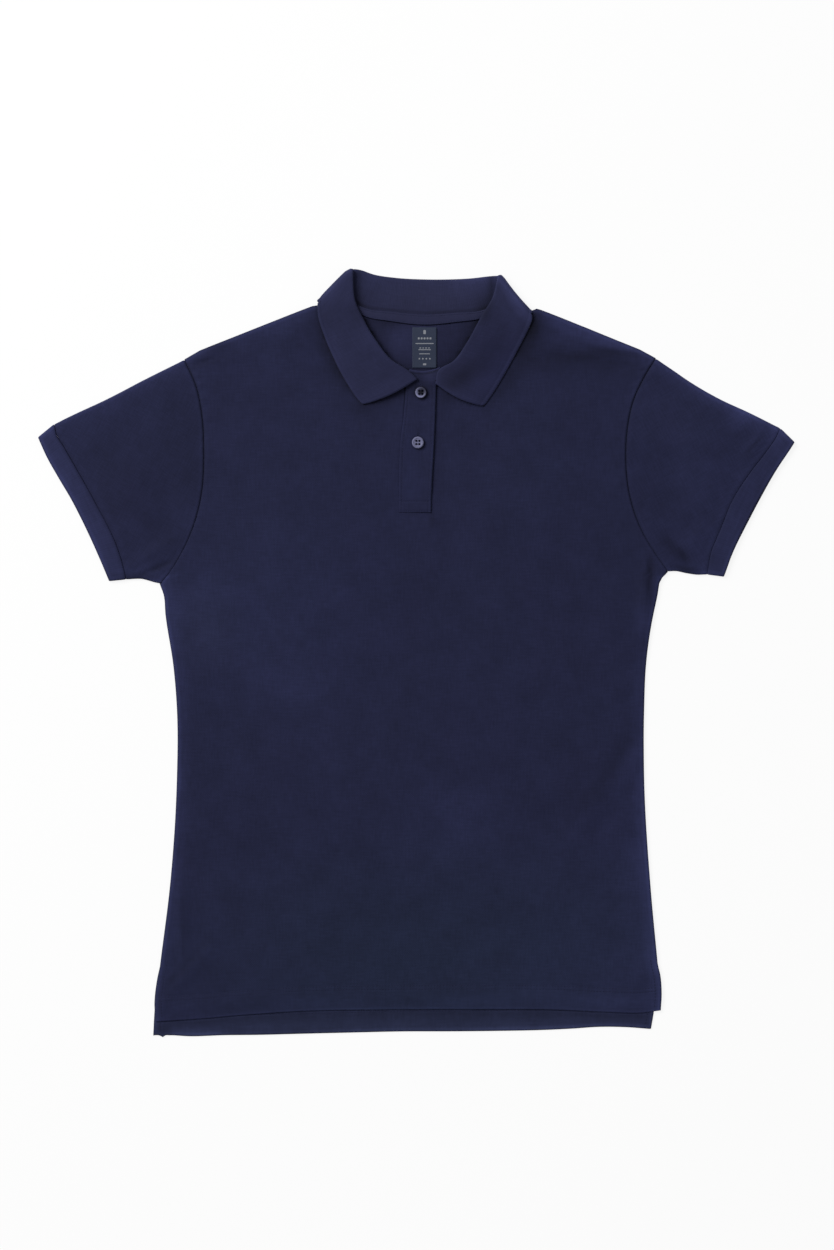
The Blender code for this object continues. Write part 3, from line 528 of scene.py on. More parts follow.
def patch(left, right, bottom, top, up, along):
    """The grid between four lines. Its rows run from left to right, and the first row is the bottom."""
    left, right = on_line(left, up), on_line(right, up)
    top = on_line(top, along)
    top[:, 0] = np.maximum.accumulate(top[:, 0])
    bottom = at_same_width(bottom, top)
    bottom[0], bottom[-1], top[0], top[-1] = left[0], right[0], left[-1], right[-1]
    up = (shares(left) + shares(right))[:, None, None] / 2
    across = (1 - up) * width_shares(bottom)[None, :, None] + up * width_shares(top)[None, :, None]
    plan = (1 - across) * left[:, None] + across * right[:, None]
    for row, weight in ((bottom, (1 - up) ** 4), (top, up**4)):
        share = width_shares(row)[:, None]
        plan = plan + weight * (row - (1 - share) * row[0] - share * row[-1])[None] * [0, 1]
    return plan


def blend_patch(left, right, bottom, top):
    """The grid between four lines that have as many points as it has rows or columns."""
    up = (shares(left) + shares(right))[:, None, None] / 2
    along = (shares(bottom) + shares(top))[None, :, None] / 2
    sides = (1 - along) * left[:, None] + along * right[:, None]
    ends = (1 - up) * bottom[None] + up * top[None]
    low = (1 - along) * left[0] + along * right[0]
    high = (1 - along) * left[-1] + along * right[-1]
    return sides + ends - ((1 - up) * low + up * high)


EVENED = 0.25  # how far a row's shares of the width are made even


def at_same_width(line, row):
    """The line's points at the row's shares of the width, made a little more even."""
    share = (1 - EVENED) * width_shares(row) + EVENED * graded(len(row) - 1, PANEL_EASE)
    x = line[0, 0] + share * (line[-1, 0] - line[0, 0])
    return np.stack([x, np.interp(x, line[:, 0], line[:, 1])], axis=1)


def beside(line, gap):
    """The line moved sideways in plan by gap, to its right as it runs."""
    run = np.gradient(line[:, :2], axis=0)
    run /= np.linalg.norm(run, axis=1)[:, None]
    return line[:, :2] + gap * np.stack([run[:, 1], -run[:, 0]], axis=1)


Borders = namedtuple("Borders", "left right bottom top")


def border_distances(plan):
    """Each grid point's distance to the four borders, along its row or column."""
    row, column = row_reaches(plan), row_reaches(plan.swapaxes(0, 1)).T
    return Borders(row, row[:, -1:] - row, column, column[-1:] - column)


# ------------------------------------------------------------
# Materials.


SHEEN_ROUGHNESS, SHEEN_TINT = 0.45, (0.62, 0.66, 1.0, 1.0)
MOTTLE, MOTTLE_GAIN = (34.0, 6.0, 0.62), 3.4  # the noise's scale, detail and roughness
SLUBS_UP, SLUBS_ACROSS, SLUB_GAIN = (1400, 170, 1), (190, 1300, 1), 1.9
MEAN_RELIEF = 0.35


class Graph:
    """A short way to write a material's nodes."""

    def __init__(self, name, colour, roughness, specular, sheen=0.0):
        self.material = bpy.data.materials.new(name)
        self.material.use_nodes = True
        self.tree = self.material.node_tree
        self.shader = self.tree.nodes["Principled BSDF"]
        self.shader.inputs["Base Color"].default_value = (*colour, 1)
        self.shader.inputs["Roughness"].default_value = roughness
        self.shader.inputs["Specular IOR Level"].default_value = specular
        self.shader.inputs["Sheen Weight"].default_value = sheen
        self.shader.inputs["Sheen Roughness"].default_value = SHEEN_ROUGHNESS
        self.shader.inputs["Sheen Tint"].default_value = SHEEN_TINT

    def node(self, kind, inputs=(), **settings):
        made = self.tree.nodes.new(kind)
        for key, value in settings.items():
            setattr(made, key, value)
        for key, value in dict(inputs).items():
            if isinstance(value, bpy.types.NodeSocket):
                self.tree.links.new(value, made.inputs[key])
            else:
                made.inputs[key].default_value = value
        return made

    def math(self, operation, a, b=0.0, c=0.0):
        return self.node("ShaderNodeMath", {0: a, 1: b, 2: c}, operation=operation).outputs[0]

    def vector(self, operation, *values):
        return self.node("ShaderNodeVectorMath", enumerate(values), operation=operation).outputs[0]

    def noise(self, place, scale, detail, roughness=0.5):
        values = {"Vector": place, "Scale": scale, "Detail": detail, "Roughness": roughness}
        return self.node("ShaderNodeTexNoise", values).outputs

    def tone(self):
        """The mesh's own gains, which paint light and shade, and in Alpha how near a collar leaf is, for its
        painted shadow.
        """
        return self.node("ShaderNodeVertexColor", layer_name="Tone").outputs

    def cloth_place(self):
        """The place on the cloth in metres: two numbers, made a little uneven, and the vector as it was."""
        place = self.node("ShaderNodeUVMap", uv_map="Cloth").outputs["UV"]
        pushed = self.vector("SUBTRACT", self.noise(place, 90.0, 2.0)["Color"], (0.5, 0.5, 0.5))
        moved = self.vector("MULTIPLY_ADD", pushed, (0.0011, 0.0011, 0), place)
        split = self.node("ShaderNodeSeparateXYZ", {0: moved})
        return split.outputs[0], split.outputs[1], place

    def wave(self, coordinate, pitch):
        """A cosine along the coordinate, with a crest each pitch metres."""
        return self.math("COSINE", self.math("MULTIPLY", coordinate, 2 * math.pi / pitch))

    def spread(self, value, amount):
        """A gain that varies by amount, from a value between 0 and 1."""
        return self.math("MULTIPLY_ADD", value, amount, 1 - amount / 2)

    def slubs(self, place, stretch, amount):
        """Short thick places in the yarn, longer along one way of the cloth."""
        return self.spread(self.noise(self.vector("MULTIPLY", place, stretch), 0.5, 2.0)["Fac"], amount)

    def tinted(self, gain, colour):
        mixed = self.vector("MULTIPLY", gain, colour)
        self.tree.links.new(mixed, self.shader.inputs["Base Color"])

    def coloured(self, colour, place, relief, relief_share, mottle):
        """The base colour with the knit's small painted shadows, slow mottling, and the mesh's painted light
        and shade.
        """
        level = self.spread(self.noise(place, *MOTTLE)["Fac"], MOTTLE_GAIN * mottle)
        grain = self.math("MULTIPLY", self.slubs(place, SLUBS_UP, SLUB_GAIN * mottle),
                          self.slubs(place, SLUBS_ACROSS, SLUB_GAIN * mottle))
        shade = self.math("MULTIPLY_ADD", relief, relief_share, 1 - relief_share * MEAN_RELIEF)
        tone = self.tone()
        near = self.math("EXPONENT", tone["Alpha"])
        leaf_shade = self.math("EXPONENT", self.math("MULTIPLY", near, -1.0))
        product = self.math("MULTIPLY", self.math("MULTIPLY", level, grain),
                            self.math("MULTIPLY", shade, leaf_shade))
        self.tinted(self.vector("MULTIPLY", tone["Color"], product), colour)

    def bumped(self, relief, strength, depth):
        made = self.node("ShaderNodeBump", {"Height": relief, "Strength": strength, "Distance": depth * MM})
        self.tree.links.new(made.outputs["Normal"], self.shader.inputs["Normal"])


def pique(name, colour, specular):
    """Pique knit: small raised ovals in offset rows, with fine loops between them."""
    graph = Graph(name, colour, 0.8, specular, sheen=0.05)
    u, v, place = graph.cloth_place()
    cells = graph.math("MULTIPLY", graph.wave(u, 0.0019), graph.wave(v, 0.0015))
    loops = graph.wave(graph.math("ADD", u, graph.math("MULTIPLY", v, 0.35)), 0.00062)
    relief = graph.math("MULTIPLY_ADD", loops, 0.22, cells)
    relief = graph.math("MULTIPLY_ADD", relief, 0.4, 0.5)
    graph.coloured(colour, place, relief, 0.22, 0.19)
    graph.bumped(relief, 0.55, 0.16)
    return graph.material


def ribbed(name, colour, specular, pitch, course, depth, contrast=0.16):
    """Flat or rib knit: wales across the band, with fine courses along it."""
    graph = Graph(name, colour, 0.8, specular, sheen=0.06)
    u, v, place = graph.cloth_place()
    wales = graph.wave(u, pitch)
    courses = graph.wave(graph.math("MULTIPLY_ADD", wales, course * 0.25, v), course)
    relief = graph.math("MULTIPLY_ADD", wales, 0.3, 0.5)
    relief = graph.math("MULTIPLY_ADD", courses, 0.16, relief)
    graph.coloured(colour, place, relief, contrast, 0.16)
    graph.bumped(relief, 0.5, depth)
    return graph.material


def twill(name, colour, specular, pitch, sheen):
    """Woven tape or label: a fine diagonal weave."""
    graph = Graph(name, colour, 0.62, specular, sheen=sheen)
    u, v, place = graph.cloth_place()
    slant = graph.wave(graph.math("ADD", u, v), pitch)
    threads = graph.wave(v, pitch * 0.6)
    relief = graph.math("MULTIPLY_ADD", slant, 0.3, 0.5)
    relief = graph.math("MULTIPLY_ADD", threads, 0.15, relief)
    graph.coloured(colour, place, relief, 0.15, 0.08)
    graph.bumped(relief, 0.4, 0.08)
    return graph.material


def plain(name, colour, roughness, specular, mottle=0.06, scale=400.0, toned=False):
    """Thread, resin or floor: a colour with a little unevenness."""
    graph = Graph(name, colour, roughness, specular)
    place = graph.node("ShaderNodeTexCoord").outputs["Object"]
    speck = graph.noise(place, scale, 3.0)["Fac"]
    gain = graph.spread(speck, mottle * 2)
    if toned:
        gain = graph.vector("MULTIPLY", graph.tone()["Color"], gain)
    graph.tinted(gain, colour)
    graph.bumped(speck, 0.12, 0.1)
    return graph.material


NAVY = (0.0130, 0.0149, 0.0442)
PIQUE = pique("pique_knit_cloth", NAVY, 0.12)
PIQUE_INSIDE = pique("pique_knit_inside", (0.0155, 0.0171, 0.0472), 0.1)
COLLAR_NAVY = (0.0149, 0.0166, 0.0468)
COLLAR_KNIT = ribbed("collar_flat_knit", COLLAR_NAVY, 0.13, pitch=0.0013, course=0.0011, depth=0.12)
CUFF_KNIT = ribbed("cuff_rib_knit", NAVY, 0.13, pitch=0.0019, course=0.0012, depth=0.09, contrast=0.09)
TAPE = twill("neck_tape_twill", (0.0163, 0.0179, 0.0505), 0.14, pitch=0.0012, sheen=0.06)
LABEL = twill("label_satin", (0.0222, 0.0302, 0.0575), 0.22, pitch=0.0007, sheen=0.05)
THREAD = plain("thread_navy", (0.0152, 0.0174, 0.0475), 0.7, 0.12)
BUTTON_THREAD = plain("thread_button", (0.008, 0.009, 0.022), 0.8, 0.08)
MARKS = plain("label_marks_pale", (0.21, 0.22, 0.25), 0.6, 0.3)
RESIN = plain("button_resin", (0.142, 0.147, 0.245), 0.42, 0.1, mottle=0.08, scale=700.0, toned=True)

# ------------------------------------------------------------
# Painted light and shade on the cloth, with slight changes of hue: patches painted lighter where light falls
# and darker where shade gathers, and strips of painted shade and painted light. A gain is one number, or one
# each for red, green and blue. In a strip of shade it is the fold's height.

Spot = namedtuple("Spot", "x y half_width half_length gain")
CLOTH_SPOTS = table(
    Spot,
    (-125, 40, 135, 105, (0.12, 0.14, 0.14)), (-40, -20, 90, 70, 0.03), (35, -155, 90, 60, 0.05),
    (185, 100, 60, 110, -0.04), (-165, -150, 60, 90, -0.05), (0, -270, 300, 150, (-0.11, 0.08, -0.08)),
    (-250, 130, 60, 70, (-0.06, -0.08, -0.08)), (-180, 22, 42, 55, (0.16, 0.16, 0.09)),
    (-208, 30, 22, 42, 0.14), (185, -165, 40, 110, 0.14), (150, -215, 110, 110, (0.1, 0.12, 0.1)),
    (20, -160, 62, 74, 0.08), (-194, 165, 16, 60, -0.1), (-246, 130, 15, 15, -0.12),
    (-240, 107, 13, 11, 0.1), (-272, 180, 20, 16, -0.07), (252, 158, 17, 17, 0.11), (272, 84, 24, 24, 0.13),
    (314, 184, 18, 18, 0.2), (-100, -20, 42, 40, 0.1), (42, -160, 42, 50, 0.09), (288, 128, 62, 84, 0.15),
    (225, 205, 60, 40, (0.14, 0.14, 0.11)), (135, -285, 110, 44, 0.16), (-205, 172, 26, 62, -0.12),
    (-262, 165, 34, 40, -0.07), (2, 52, 28, 34, -0.1), (0, -18, 30, 34, -0.07), (-190, -70, 30, 44, -0.08),
    (140, 246, 70, 18, -0.08), (194, 64, 12, 24, -0.12), (130, 267, 32, 12, 0.38),
    (-121, 279, 28, 13, 0.14), (-176, 265, 28, 10, -0.34), (280, 200, 22, 16, 0.4),
    (103, -292, 26, 18, 0.2), (40, -290, 260, 130, 0.09), (206, -265, 12, 22, 0.25),
    (195, 31, 12, 14, 0.22), (-204, -112, 7, 18, 0.2), (245, 140, 85, 95, 0.07), (242, 154, 20, 22, 0.08),
    (254, 98, 17, 18, 0.12), (-200, 208, 28, 26, -0.11), (-215, 150, 50, 40, -0.05),
    (-270, 68, 13, 12, -0.28), (-40, -250, 22, 20, -0.09), (26, 220, 13, 15, -0.2),
    (298, 182, 24, 18, 0.26), (192, 218, 26, 22, 0.12), (164, 108, 26, 24, 0.09), (236, 92, 18, 16, 0.16),
    (-180, 55, 36, 32, 0.14), (-80, -28, 17, 15, 0.14), (-156, 243, 20, 15, 0.14),
    (106, 246, 17, 10, -0.18), (190, -265, 30, 52, 0.15), (-202, -306, 26, 11, 0.16),
    (-176, -222, 22, 26, 0.1), (40, -128, 62, 30, 0.09), (-204, 100, 22, 16, -0.11), (48, 210, 16, 12, 0.1),
)
INSIDE_SPOTS = table(
    Spot,
    (40, 262, 44, 40, (-0.16, -0.16, -0.14)), (-13, 262, 22, 26, 0.27), (48, 284, 16, 10, -0.18),
    (7, 240, 40, 16, -0.26), (-10, -330, 500, 90, (-0.03, 0.1, -0.04)), (-28, 281, 18, 12, -0.22),
    (-218, -326, 14, 9, -0.32),
)
INSIDE_SHADES = table(
    Fold,
    (-46, 290, -12, 284, 8.0, -0.3), (50, -325, 190, -322, 7.0, 0.28), (-205, -327, -166, -327, 6.0, 0.28),
    (-158, -328, -60, -326, 6.0, -0.2),
)
# Painted shade along folds, beside the collar and the placket, and painted light along outer edges.
SHADES = table(  # along folds, beside the collar and the placket, and along outer edges
    Fold,
    (201.6, 84, 200.4, 50, 6.0, -0.42), (-236, 67.5, -205, 81.5, 4.5, -0.34),
    (210, 102, 230, 82, 8.0, -0.3), (226, 90, 234, 77, 5.0, -0.3), (150, 262.5, 196, 254.5, 5.5, -0.34),
    (120, 257, 198, 246, 15.0, -0.2), (100, 262, 150, 268, 12.0, -0.22), (102, 284, 72, 216, 18.0, -0.24),
    (-198, 245.5, -172, 254.5, 6.0, -0.22), (300, 190, 284, 171, 3.6, -0.3),
    (14.4, 120.6, 15.8, 108.5, 3.4, -0.34), (-222, -296, -176, -243, 7.0, -0.14),
    (-201, -196, -198, -284, 5.0, -0.12), (190, -70, 148, -136, 17.0, -0.18),
    (-82, 262, -46, 212, 5.0, -0.14), (-90, 290, -62, 226, 9.0, -0.16), (60, 210, 84, 246, 9.0, -0.2),
    (-262, 65, -224, 64, 6.5, -0.55), (220, 73, 242, 69, 6.5, -0.5), (199, 60, 196, -76, 7.0, -0.2),
    (103, 290, 98, 272, 6.0, -0.28), (100, 252, 170, 257, 8.0, -0.1), (22, 212, 19, 124, 7.0, -0.13),
    (17, 212, 14, 124, 4.5, -0.17), (106, 291, 204, 253, 13.0, 0.42), (216, 246, 314, 193, 13.0, 0.4),
    (-130, -301, -50, -299, 8.0, 0.18), (14, -299, 80, -299, 9.0, 0.24), (136, -300, 210, -300, 11.0, 0.3),
    (192, -80, 206, -300, 16.0, 0.2), (-118, -262, -166, -300, 9.0, 0.08),
    (190, -74, 172, -118, 10.0, 0.28), (176, -84, 128, -152, 9.0, -0.13), (-172, 4, -78, -50, 22.0, 0.15),
    (40, -118, 86, -150, 16.0, 0.12), (104, 288, 98, 266, 9.0, -0.28), (102, 253, 170, 257, 7.0, -0.16),
    (-88, 284, -62, 226, 13.0, -0.12), (-44, 211, -6, 226, 8.0, -0.1), (307, 158, 271, 80, 11.0, -0.42),
    (150, -128, 120, -180, 12.0, 0.1), (-314, 152, -282, 100, 8.0, -0.3),
)
COLLAR_SPOTS = table(
    Spot,
    (-55, 250, 50, 60, (0.08, 0.08, 0.09)), (7, 305, 75, 30, (0.26, 0.24, 0.14)),
    (70, 240, 50, 70, (-0.2, -0.2, -0.12)), (80, 300, 20, 28, 0.22), (-62, 312, 20, 24, 0.2),
    (34, 237, 18, 15, (-0.3, -0.3, -0.28)), (60, 295, 15, 19, -0.2), (-44, 268, 14, 16, 0.14),
    (-50, 293, 12, 12, -0.16), (50, 317, 36, 20, 0.36), (57, 292, 11, 20, -0.16), (27, 230, 13, 9, -0.22),
    (-76, 308, 13, 17, 0.18), (-46, 318, 20, 11, 0.16),
)
COLLAR_SHADES = table(
    Fold,
    (14, 240, 40, 260, 6.0, 0.14), (50, 220, 88, 264, 14.0, 0.2), (-48, 219, -8, 238, 8.0, 0.14),
    (36, 325, 80, 326, 11.0, 0.4), (72, 329, 100, 286, 12.0, 0.85), (33, 231, 54, 252, 9.0, -0.22),
    (44, 252, 60, 282, 6.0, 0.1), (46, 221, 64, 240, 9.0, 0.12), (60, 256, 76, 280, 8.0, -0.08),
    (80, 268, 88, 294, 8.0, 0.12), (62, 280, 70, 302, 7.0, 0.1), (-44, 278, -10, 243, 10.0, 0.2),
    (-86, 298, -56, 330, 8.0, 0.28), (-58, 330, -26, 322, 8.0, 0.18),
)
BAND_SPOTS = table(
    Spot,
    (5, 227, 24, 11, (-0.3, -0.32, -0.32)), (-6, 150, 12, 40, 0.08), (8, 238, 16, 8, (0.1, 0.06, 0.06)),
    (-4, 160, 14, 50, (0.03, 0.05, 0.07)), (1, 192, 13, 9, -0.14),
)


def cloth_tone(x, y, spots=CLOTH_SPOTS, shades=SHADES):
    """Painted light and shade on the cloth, in red, green and blue: painted patches, and painted strips along
    its folds and edges.
    """
    tone = np.ones(np.shape(x) + (3,))
    for spot in spots:
        away = np.hypot((x - spot.x) / spot.half_width, (y - spot.y) / spot.half_length)
        tone *= 1 + (1 - soft_step(away))[..., None] * np.array(spot.gain)
    for shade in shades:
        tone *= 1 + fold_height(shade, x, y)[..., None]
    return tone


# The lines along which the collar's leaves shade the cloth.
LEFT_EDGE, RIGHT_EDGE = [s[4:6] for s in COLLAR_LEFT], [s[4:6] for s in COLLAR_RIGHT]
LEFT_ROLL, RIGHT_ROLL = [s[2:4] for s in COLLAR_LEFT], [s[2:4] for s in COLLAR_RIGHT]
LEFT_END = [LEFT_ROLL[0], (-16.0, 225.0), (-32.0, 217.6), LEFT_EDGE[0]]
RIGHT_END = [RIGHT_ROLL[6], (30.0, 222.9), (38.0, 218.4), (48.0, 214.6), RIGHT_EDGE[6]]
LEAF_OUTLINES = [LEFT_ROLL[::-1] + LEFT_END[1:-1] + LEFT_EDGE,
                 RIGHT_ROLL + RIGHT_END[1:-1] + RIGHT_EDGE[::-1]]
LeafShade = namedtuple("LeafShade", "line strength reach")
OUTSIDE_SHADES = table(
    LeafShade,
    (LEFT_EDGE, 0.6, 2.6), (LEFT_END, 0.33, 8.0),
    (RIGHT_EDGE[:3] + [(89.6, 267.0), (86.8, 261.0)], 1.05, 5.2), (RIGHT_END[:3], 0.3, 3.5),
)
INSIDE_LEAF_SHADES = table(
    LeafShade,
    (LEFT_ROLL[:5], 0.34, 7.5), (RIGHT_ROLL, 0.46, 7.5),
)


def inside(x, y, outline):
    """Which places lie within the outline's corners."""
    crossings = np.zeros(np.shape(x), int)
    for (x1, y1), (x2, y2) in zip(outline, outline[1:] + outline[:1]):
        if y1 != y2:
            crossings += ((y1 > y) != (y2 > y)) & (x < (x2 - x1) * (y - y1) / (y2 - y1) + x1)
    return crossings % 2 == 1


def beside_leaf(x, y, leaf_shades):
    """How near the nearest leaf is: the logarithm of its shade's strength. It is linear in the distance, so
    that a coarse grid carries it well."""
    under = inside(x, y, LEAF_OUTLINES[0]) | inside(x, y, LEAF_OUTLINES[1])
    near = np.full(np.shape(x), FAR)
    for shade in leaf_shades:
        line = on_line(spline(shade.line, 12), np.linspace(0, 1, 90))
        away = np.hypot(x[..., None] - line[:, 0], y[..., None] - line[:, 1]).min(axis=-1)
        near = np.maximum(near, math.log(shade.strength) - np.where(under, -away, away) / shade.reach)
    return np.clip(near, FAR, 0.5)[..., None]


def rim(away):
    """A gain for an outer edge: painted shade in its last half millimetre and painted sheen behind it."""
    bright = 0.5 * bump(away - 1.7, 1.5) + 0.22 * np.exp(-away / 8.0) + 0.13 * bump(away - 6.0, 4.0)
    return (1 + bright - 0.42 * bump(away, 0.6))[..., None]


def stitched(away, depth, width=1.0):
    """A gain for the painted shade in a seam, with a little painted light beside it."""
    return (1 - depth * bump(away, width) + 0.08 * bump(away - 2.6 * width, 1.3 * width))[..., None]


HEM_LIT = 0.42
HEM_STANDS_OFF = ((115, 36, 0.24), (-222, 26, 0.3))  # at x, over a width, and how much less it is lit


def hem_light(x):
    """How much painted light brightens the step at the front hem, against its shadow: less where the hem
    stands off the back.
    """
    return HEM_LIT - sum(less * bump(x - at, width) for at, width, less in HEM_STANDS_OFF)


def seam_strength(y):
    """How deep an armhole's seam is pulled in: least at the armpit."""
    return ARMPIT_STRENGTH + (1 - ARMPIT_STRENGTH) * soft_step((y - ARMPIT_SEAM_Y) / ARMPIT_SEAM_FADE)


# ------------------------------------------------------------
# Body panels.


def neck_line(front):
    """The neck edge of the front, or of the back, from the viewer's left."""
    if front:
        left = spline(COLLAR_LEFT)[::-1, :2]
        right = spline(COLLAR_RIGHT)[::-1, :2]
        line = np.concatenate([left, np.linspace(left[-1], right[0], 30)[1:-1], right])
    else:
        line = spline(COLLAR_BACK)[:, :2]
    line = on_line(line, np.linspace(0, 1, 240))
    return beside(line, NECK_GAP)


def side_line(vent, seam, armhole, side):
    """A body panel's side edge, from its hem up to the shoulder tip."""
    hole = beside(on_line(spline(armhole), np.linspace(0, 1, 80)), -side * HALF_SEAM)
    return np.concatenate([spline(vent + seam[:1]), spline(seam)[1:], hole[1:]])


Spread = namedtuple("Spread", "plan x y to_side to_hem to_top in_armhole at_shoulder")


def spread_out(vents, hem, neck, rows, columns):
    """A body panel in plan, with what its height and tones depend on."""
    left = side_line(vents[0], SIDE_SEAM_LEFT, ARMHOLE_LEFT, -1)
    right = side_line(vents[1], SIDE_SEAM_RIGHT, ARMHOLE_RIGHT, 1)
    top = np.concatenate([SHOULDER_LEFT, neck[1:-1], SHOULDER_RIGHT])
    plan = patch(left, right, spline(hem), top, graded(rows, PANEL_EASE), graded(columns, PANEL_EASE))
    x, y, to = plan[..., 0], plan[..., 1], border_distances(plan)
    in_armhole = soft_step((y - ARMPIT_Y) / 3)
    at_shoulder = soft_step((np.abs(x - NECK_CENTRE_X) - NECK_HALF_WIDTH) / 6)
    return Spread(plan, x, y, np.minimum(to.left, to.right), to.bottom, to.top, in_armhole, at_shoulder)


def sewn(p, base, sense):
    """The layer's height with its edges pulled in to their seams: down for a sense of -1 and up for 1.

    Side seams and shoulders close on the other layer. The vents stay open.
    """
    half_gap = (front_level(p.x, p.y) - back_level(p.x, p.y)) / 2 - CLOSED_AIR
    sewn_side = soft_step((p.y - VENT_TOP_Y) / 8) * (1 - p.in_armhole)
    closing = np.maximum(turned_down(p.to_side, EDGE_ROUND) * sewn_side,
                         turned_down(p.to_top, EDGE_ROUND) * p.at_shoulder)
    dip = SEAM_DIP * seam_strength(p.y) * turned_down(p.to_side, SEAM_ROUND) * p.in_armhole
    return base + sense * half_gap * closing + sense * dip


HEM_TOP_SOFT, HEM_GROOVE, HEM_GROOVE_WIDTH = 1.6, 0.2, 0.7
HEM_EDGE_DIP, HEM_EDGE_ROUND = 0.2, 1.3
HEM_SINKS, HEM_SINKS_FROM = 0.85, 12  # by that share of the room under it, from so far up
VENT_DIP, VENT_DIP_FADE, VENT_ROUND = 0.45, 8, 1.2
BACK_HEM_SHARE = 0.3  # of the front hem's step
BACK_HEM_STANDS, BACK_HEM_REACH, BACK_HEM_UNDER = 0.45, 5, 0.3


def hem_form(p):
    """The hem's doubled cloth, 1 on it and 0 above it, and the grooves of its two rows of stitches."""
    hem = 1 - soft_step((p.to_hem - HEM_WIDTH + HEM_TOP_SOFT / 2) / HEM_TOP_SOFT)
    return hem, sum(bump(p.to_hem - row, HEM_GROOVE_WIDTH) for row in HEM_ROWS)


def front_height(p):
    """The front's height. Its hem is folded under and sinks to the back at its edge."""
    hem, grooves = hem_form(p)
    room = front_level(p.x, p.y) - back_level(p.x, p.y) - SKIN
    z = sewn(p, creased(p.x, p.y), -1) + puckered(BODY_PUCKER, p.y, p.to_side) * p.in_armhole
    z += HEM_STEP * hem - HEM_GROOVE * grooves + puckered(HEM_PUCKER, p.x, p.to_hem)
    z -= HEM_EDGE_DIP * turned_down(p.to_hem, HEM_EDGE_ROUND)
    z -= HEM_SINKS * room * (1 - soft_step(p.to_hem / HEM_SINKS_FROM))
    at_vent = 1 - soft_step((p.y - VENT_EDGE_Y) / VENT_DIP_FADE)
    return z - VENT_DIP * at_vent * turned_down(p.to_side, VENT_ROUND)


def back_height(p):
    """The back's height. Its hem stands up a little against the front's edge."""
    hem, grooves = hem_form(p)
    below = height_of(FRONT_HEM, p.x) - p.y
    z = sewn(p, under_creased(p.x, p.y), 1) + BACK_HEM_SHARE * HEM_STEP * hem - HEM_GROOVE / 2 * grooves
    stands = BACK_HEM_STANDS * np.exp(-np.maximum(below, 0) / BACK_HEM_REACH) * (below > -BACK_HEM_UNDER)
    return np.maximum(z + stands, SKIN / 2)


def seam_tones(p, to_edge):
    """The painted light and shade of an outer edge and of the armholes' seams."""
    outer = np.minimum(p.to_side + p.in_armhole * OUT_OF_REACH, p.to_top + (1 - p.at_shoulder) * OUT_OF_REACH)
    hole = stitched(p.to_side + (1 - p.in_armhole) * OUT_OF_REACH, SEAM_SHADE * seam_strength(p.y))
    return rim(np.minimum(outer, to_edge)) * hole


# Painted light on the front hem's step and a faint painted glow above it, and painted light and painted shade
# on the back's strip below it.
HEM_LIT_WIDTH, HEM_GLOW, HEM_GLOW_REACH = 1.6, 0.06, 4
BACK_LIT, BACK_LIT_WIDTH = 1.15, 1.1
BACK_SHADE, BACK_SHADE_FROM, BACK_SHADE_WIDTH = 0.1, 3.4, 2.6
HEMS_BELOW_Y = -250


def front_panel():
    """The front's middle surface and its tones of painted light and shade."""
    p = spread_out((FRONT_VENT_LEFT, FRONT_VENT_RIGHT), FRONT_HEM, neck_line(True), FRONT_ROWS, FRONT_COLUMNS)
    lit = hem_light(p.x) * bump(p.to_hem, HEM_LIT_WIDTH) + HEM_GLOW * np.exp(-p.to_hem / HEM_GLOW_REACH)
    tones = cloth_tone(p.x, p.y) * seam_tones(p, np.inf) * (1 + lit)[..., None]
    return np.dstack([p.plan, front_height(p)]), np.dstack([tones, beside_leaf(p.x, p.y, OUTSIDE_SHADES)])


def back_panel():
    """The back's middle surface and its tones, with light and shade along the front's hem."""
    p = spread_out((BACK_VENT_LEFT, BACK_VENT_RIGHT), BACK_HEM, neck_line(False), BACK_ROWS, BACK_COLUMNS)
    below = np.maximum(height_of(FRONT_HEM, p.x) - p.y, 0)
    lit = BACK_LIT * hem_light(p.x) * bump(below, BACK_LIT_WIDTH)
    lit = (lit - BACK_SHADE * bump(below - BACK_SHADE_FROM, BACK_SHADE_WIDTH)) * (p.y < HEMS_BELOW_Y)
    tones = cloth_tone(p.x, p.y, INSIDE_SPOTS, INSIDE_SHADES) * seam_tones(p, p.to_hem) * (1 + lit)[..., None]
    return np.dstack([p.plan, back_height(p)]), np.dstack([tones, beside_leaf(p.x, p.y, INSIDE_LEAF_SHADES)])


def slit_cutter():
    """What cuts the placket's slit out of the front."""
    sides = [(p.left + SLIT_INSET, p.y, p.right - SLIT_INSET, p.y) for p in PLACKET]
    rows = on_line(spline(sides), np.linspace(0, 1, 13))[:-1]
    left = np.concatenate([[rows[0, :2] + (0, SLIT_CUT_ABOVE)], rows[:, :2] + (0, SLIT_INSET)])
    right = np.concatenate([[rows[0, 2:] + (0, SLIT_CUT_ABOVE)], rows[:, 2:] + (0, SLIT_INSET)])
    outline = np.concatenate([left, right[::-1]])
    count = len(outline)
    points = np.concatenate([np.column_stack([outline, np.full(count, z)]) for z in (0.0, SLIT_CUT_HEIGHT)])
    faces = [tuple(range(count)), tuple(range(2 * count - 1, count - 1, -1))]
    faces += [(i, i + count, (i + 1) % count + count, (i + 1) % count) for i in range(count)]
    cutter = object_from("slit_cutter", points, faces, PIQUE)
    mesh = bmesh.new()
    mesh.from_mesh(cutter.data)
    bmesh.ops.recalc_face_normals(mesh, faces=mesh.faces)
    mesh.to_mesh(cutter.data)
    mesh.free()
    return cutter


front_grid, front_tones = front_panel()
back_grid, back_tones = back_panel()
front = shell("front_panel", front_grid, SKIN, PIQUE, tones=front_tones)
cut_out(front, slit_cutter())
tagged(front, "pique_knit", "front")
back = tagged(shell("back_panel", back_grid, SKIN, PIQUE_INSIDE, tones=back_tones), "pique_knit", "back")

# ------------------------------------------------------------
# Sleeves and cuffs.


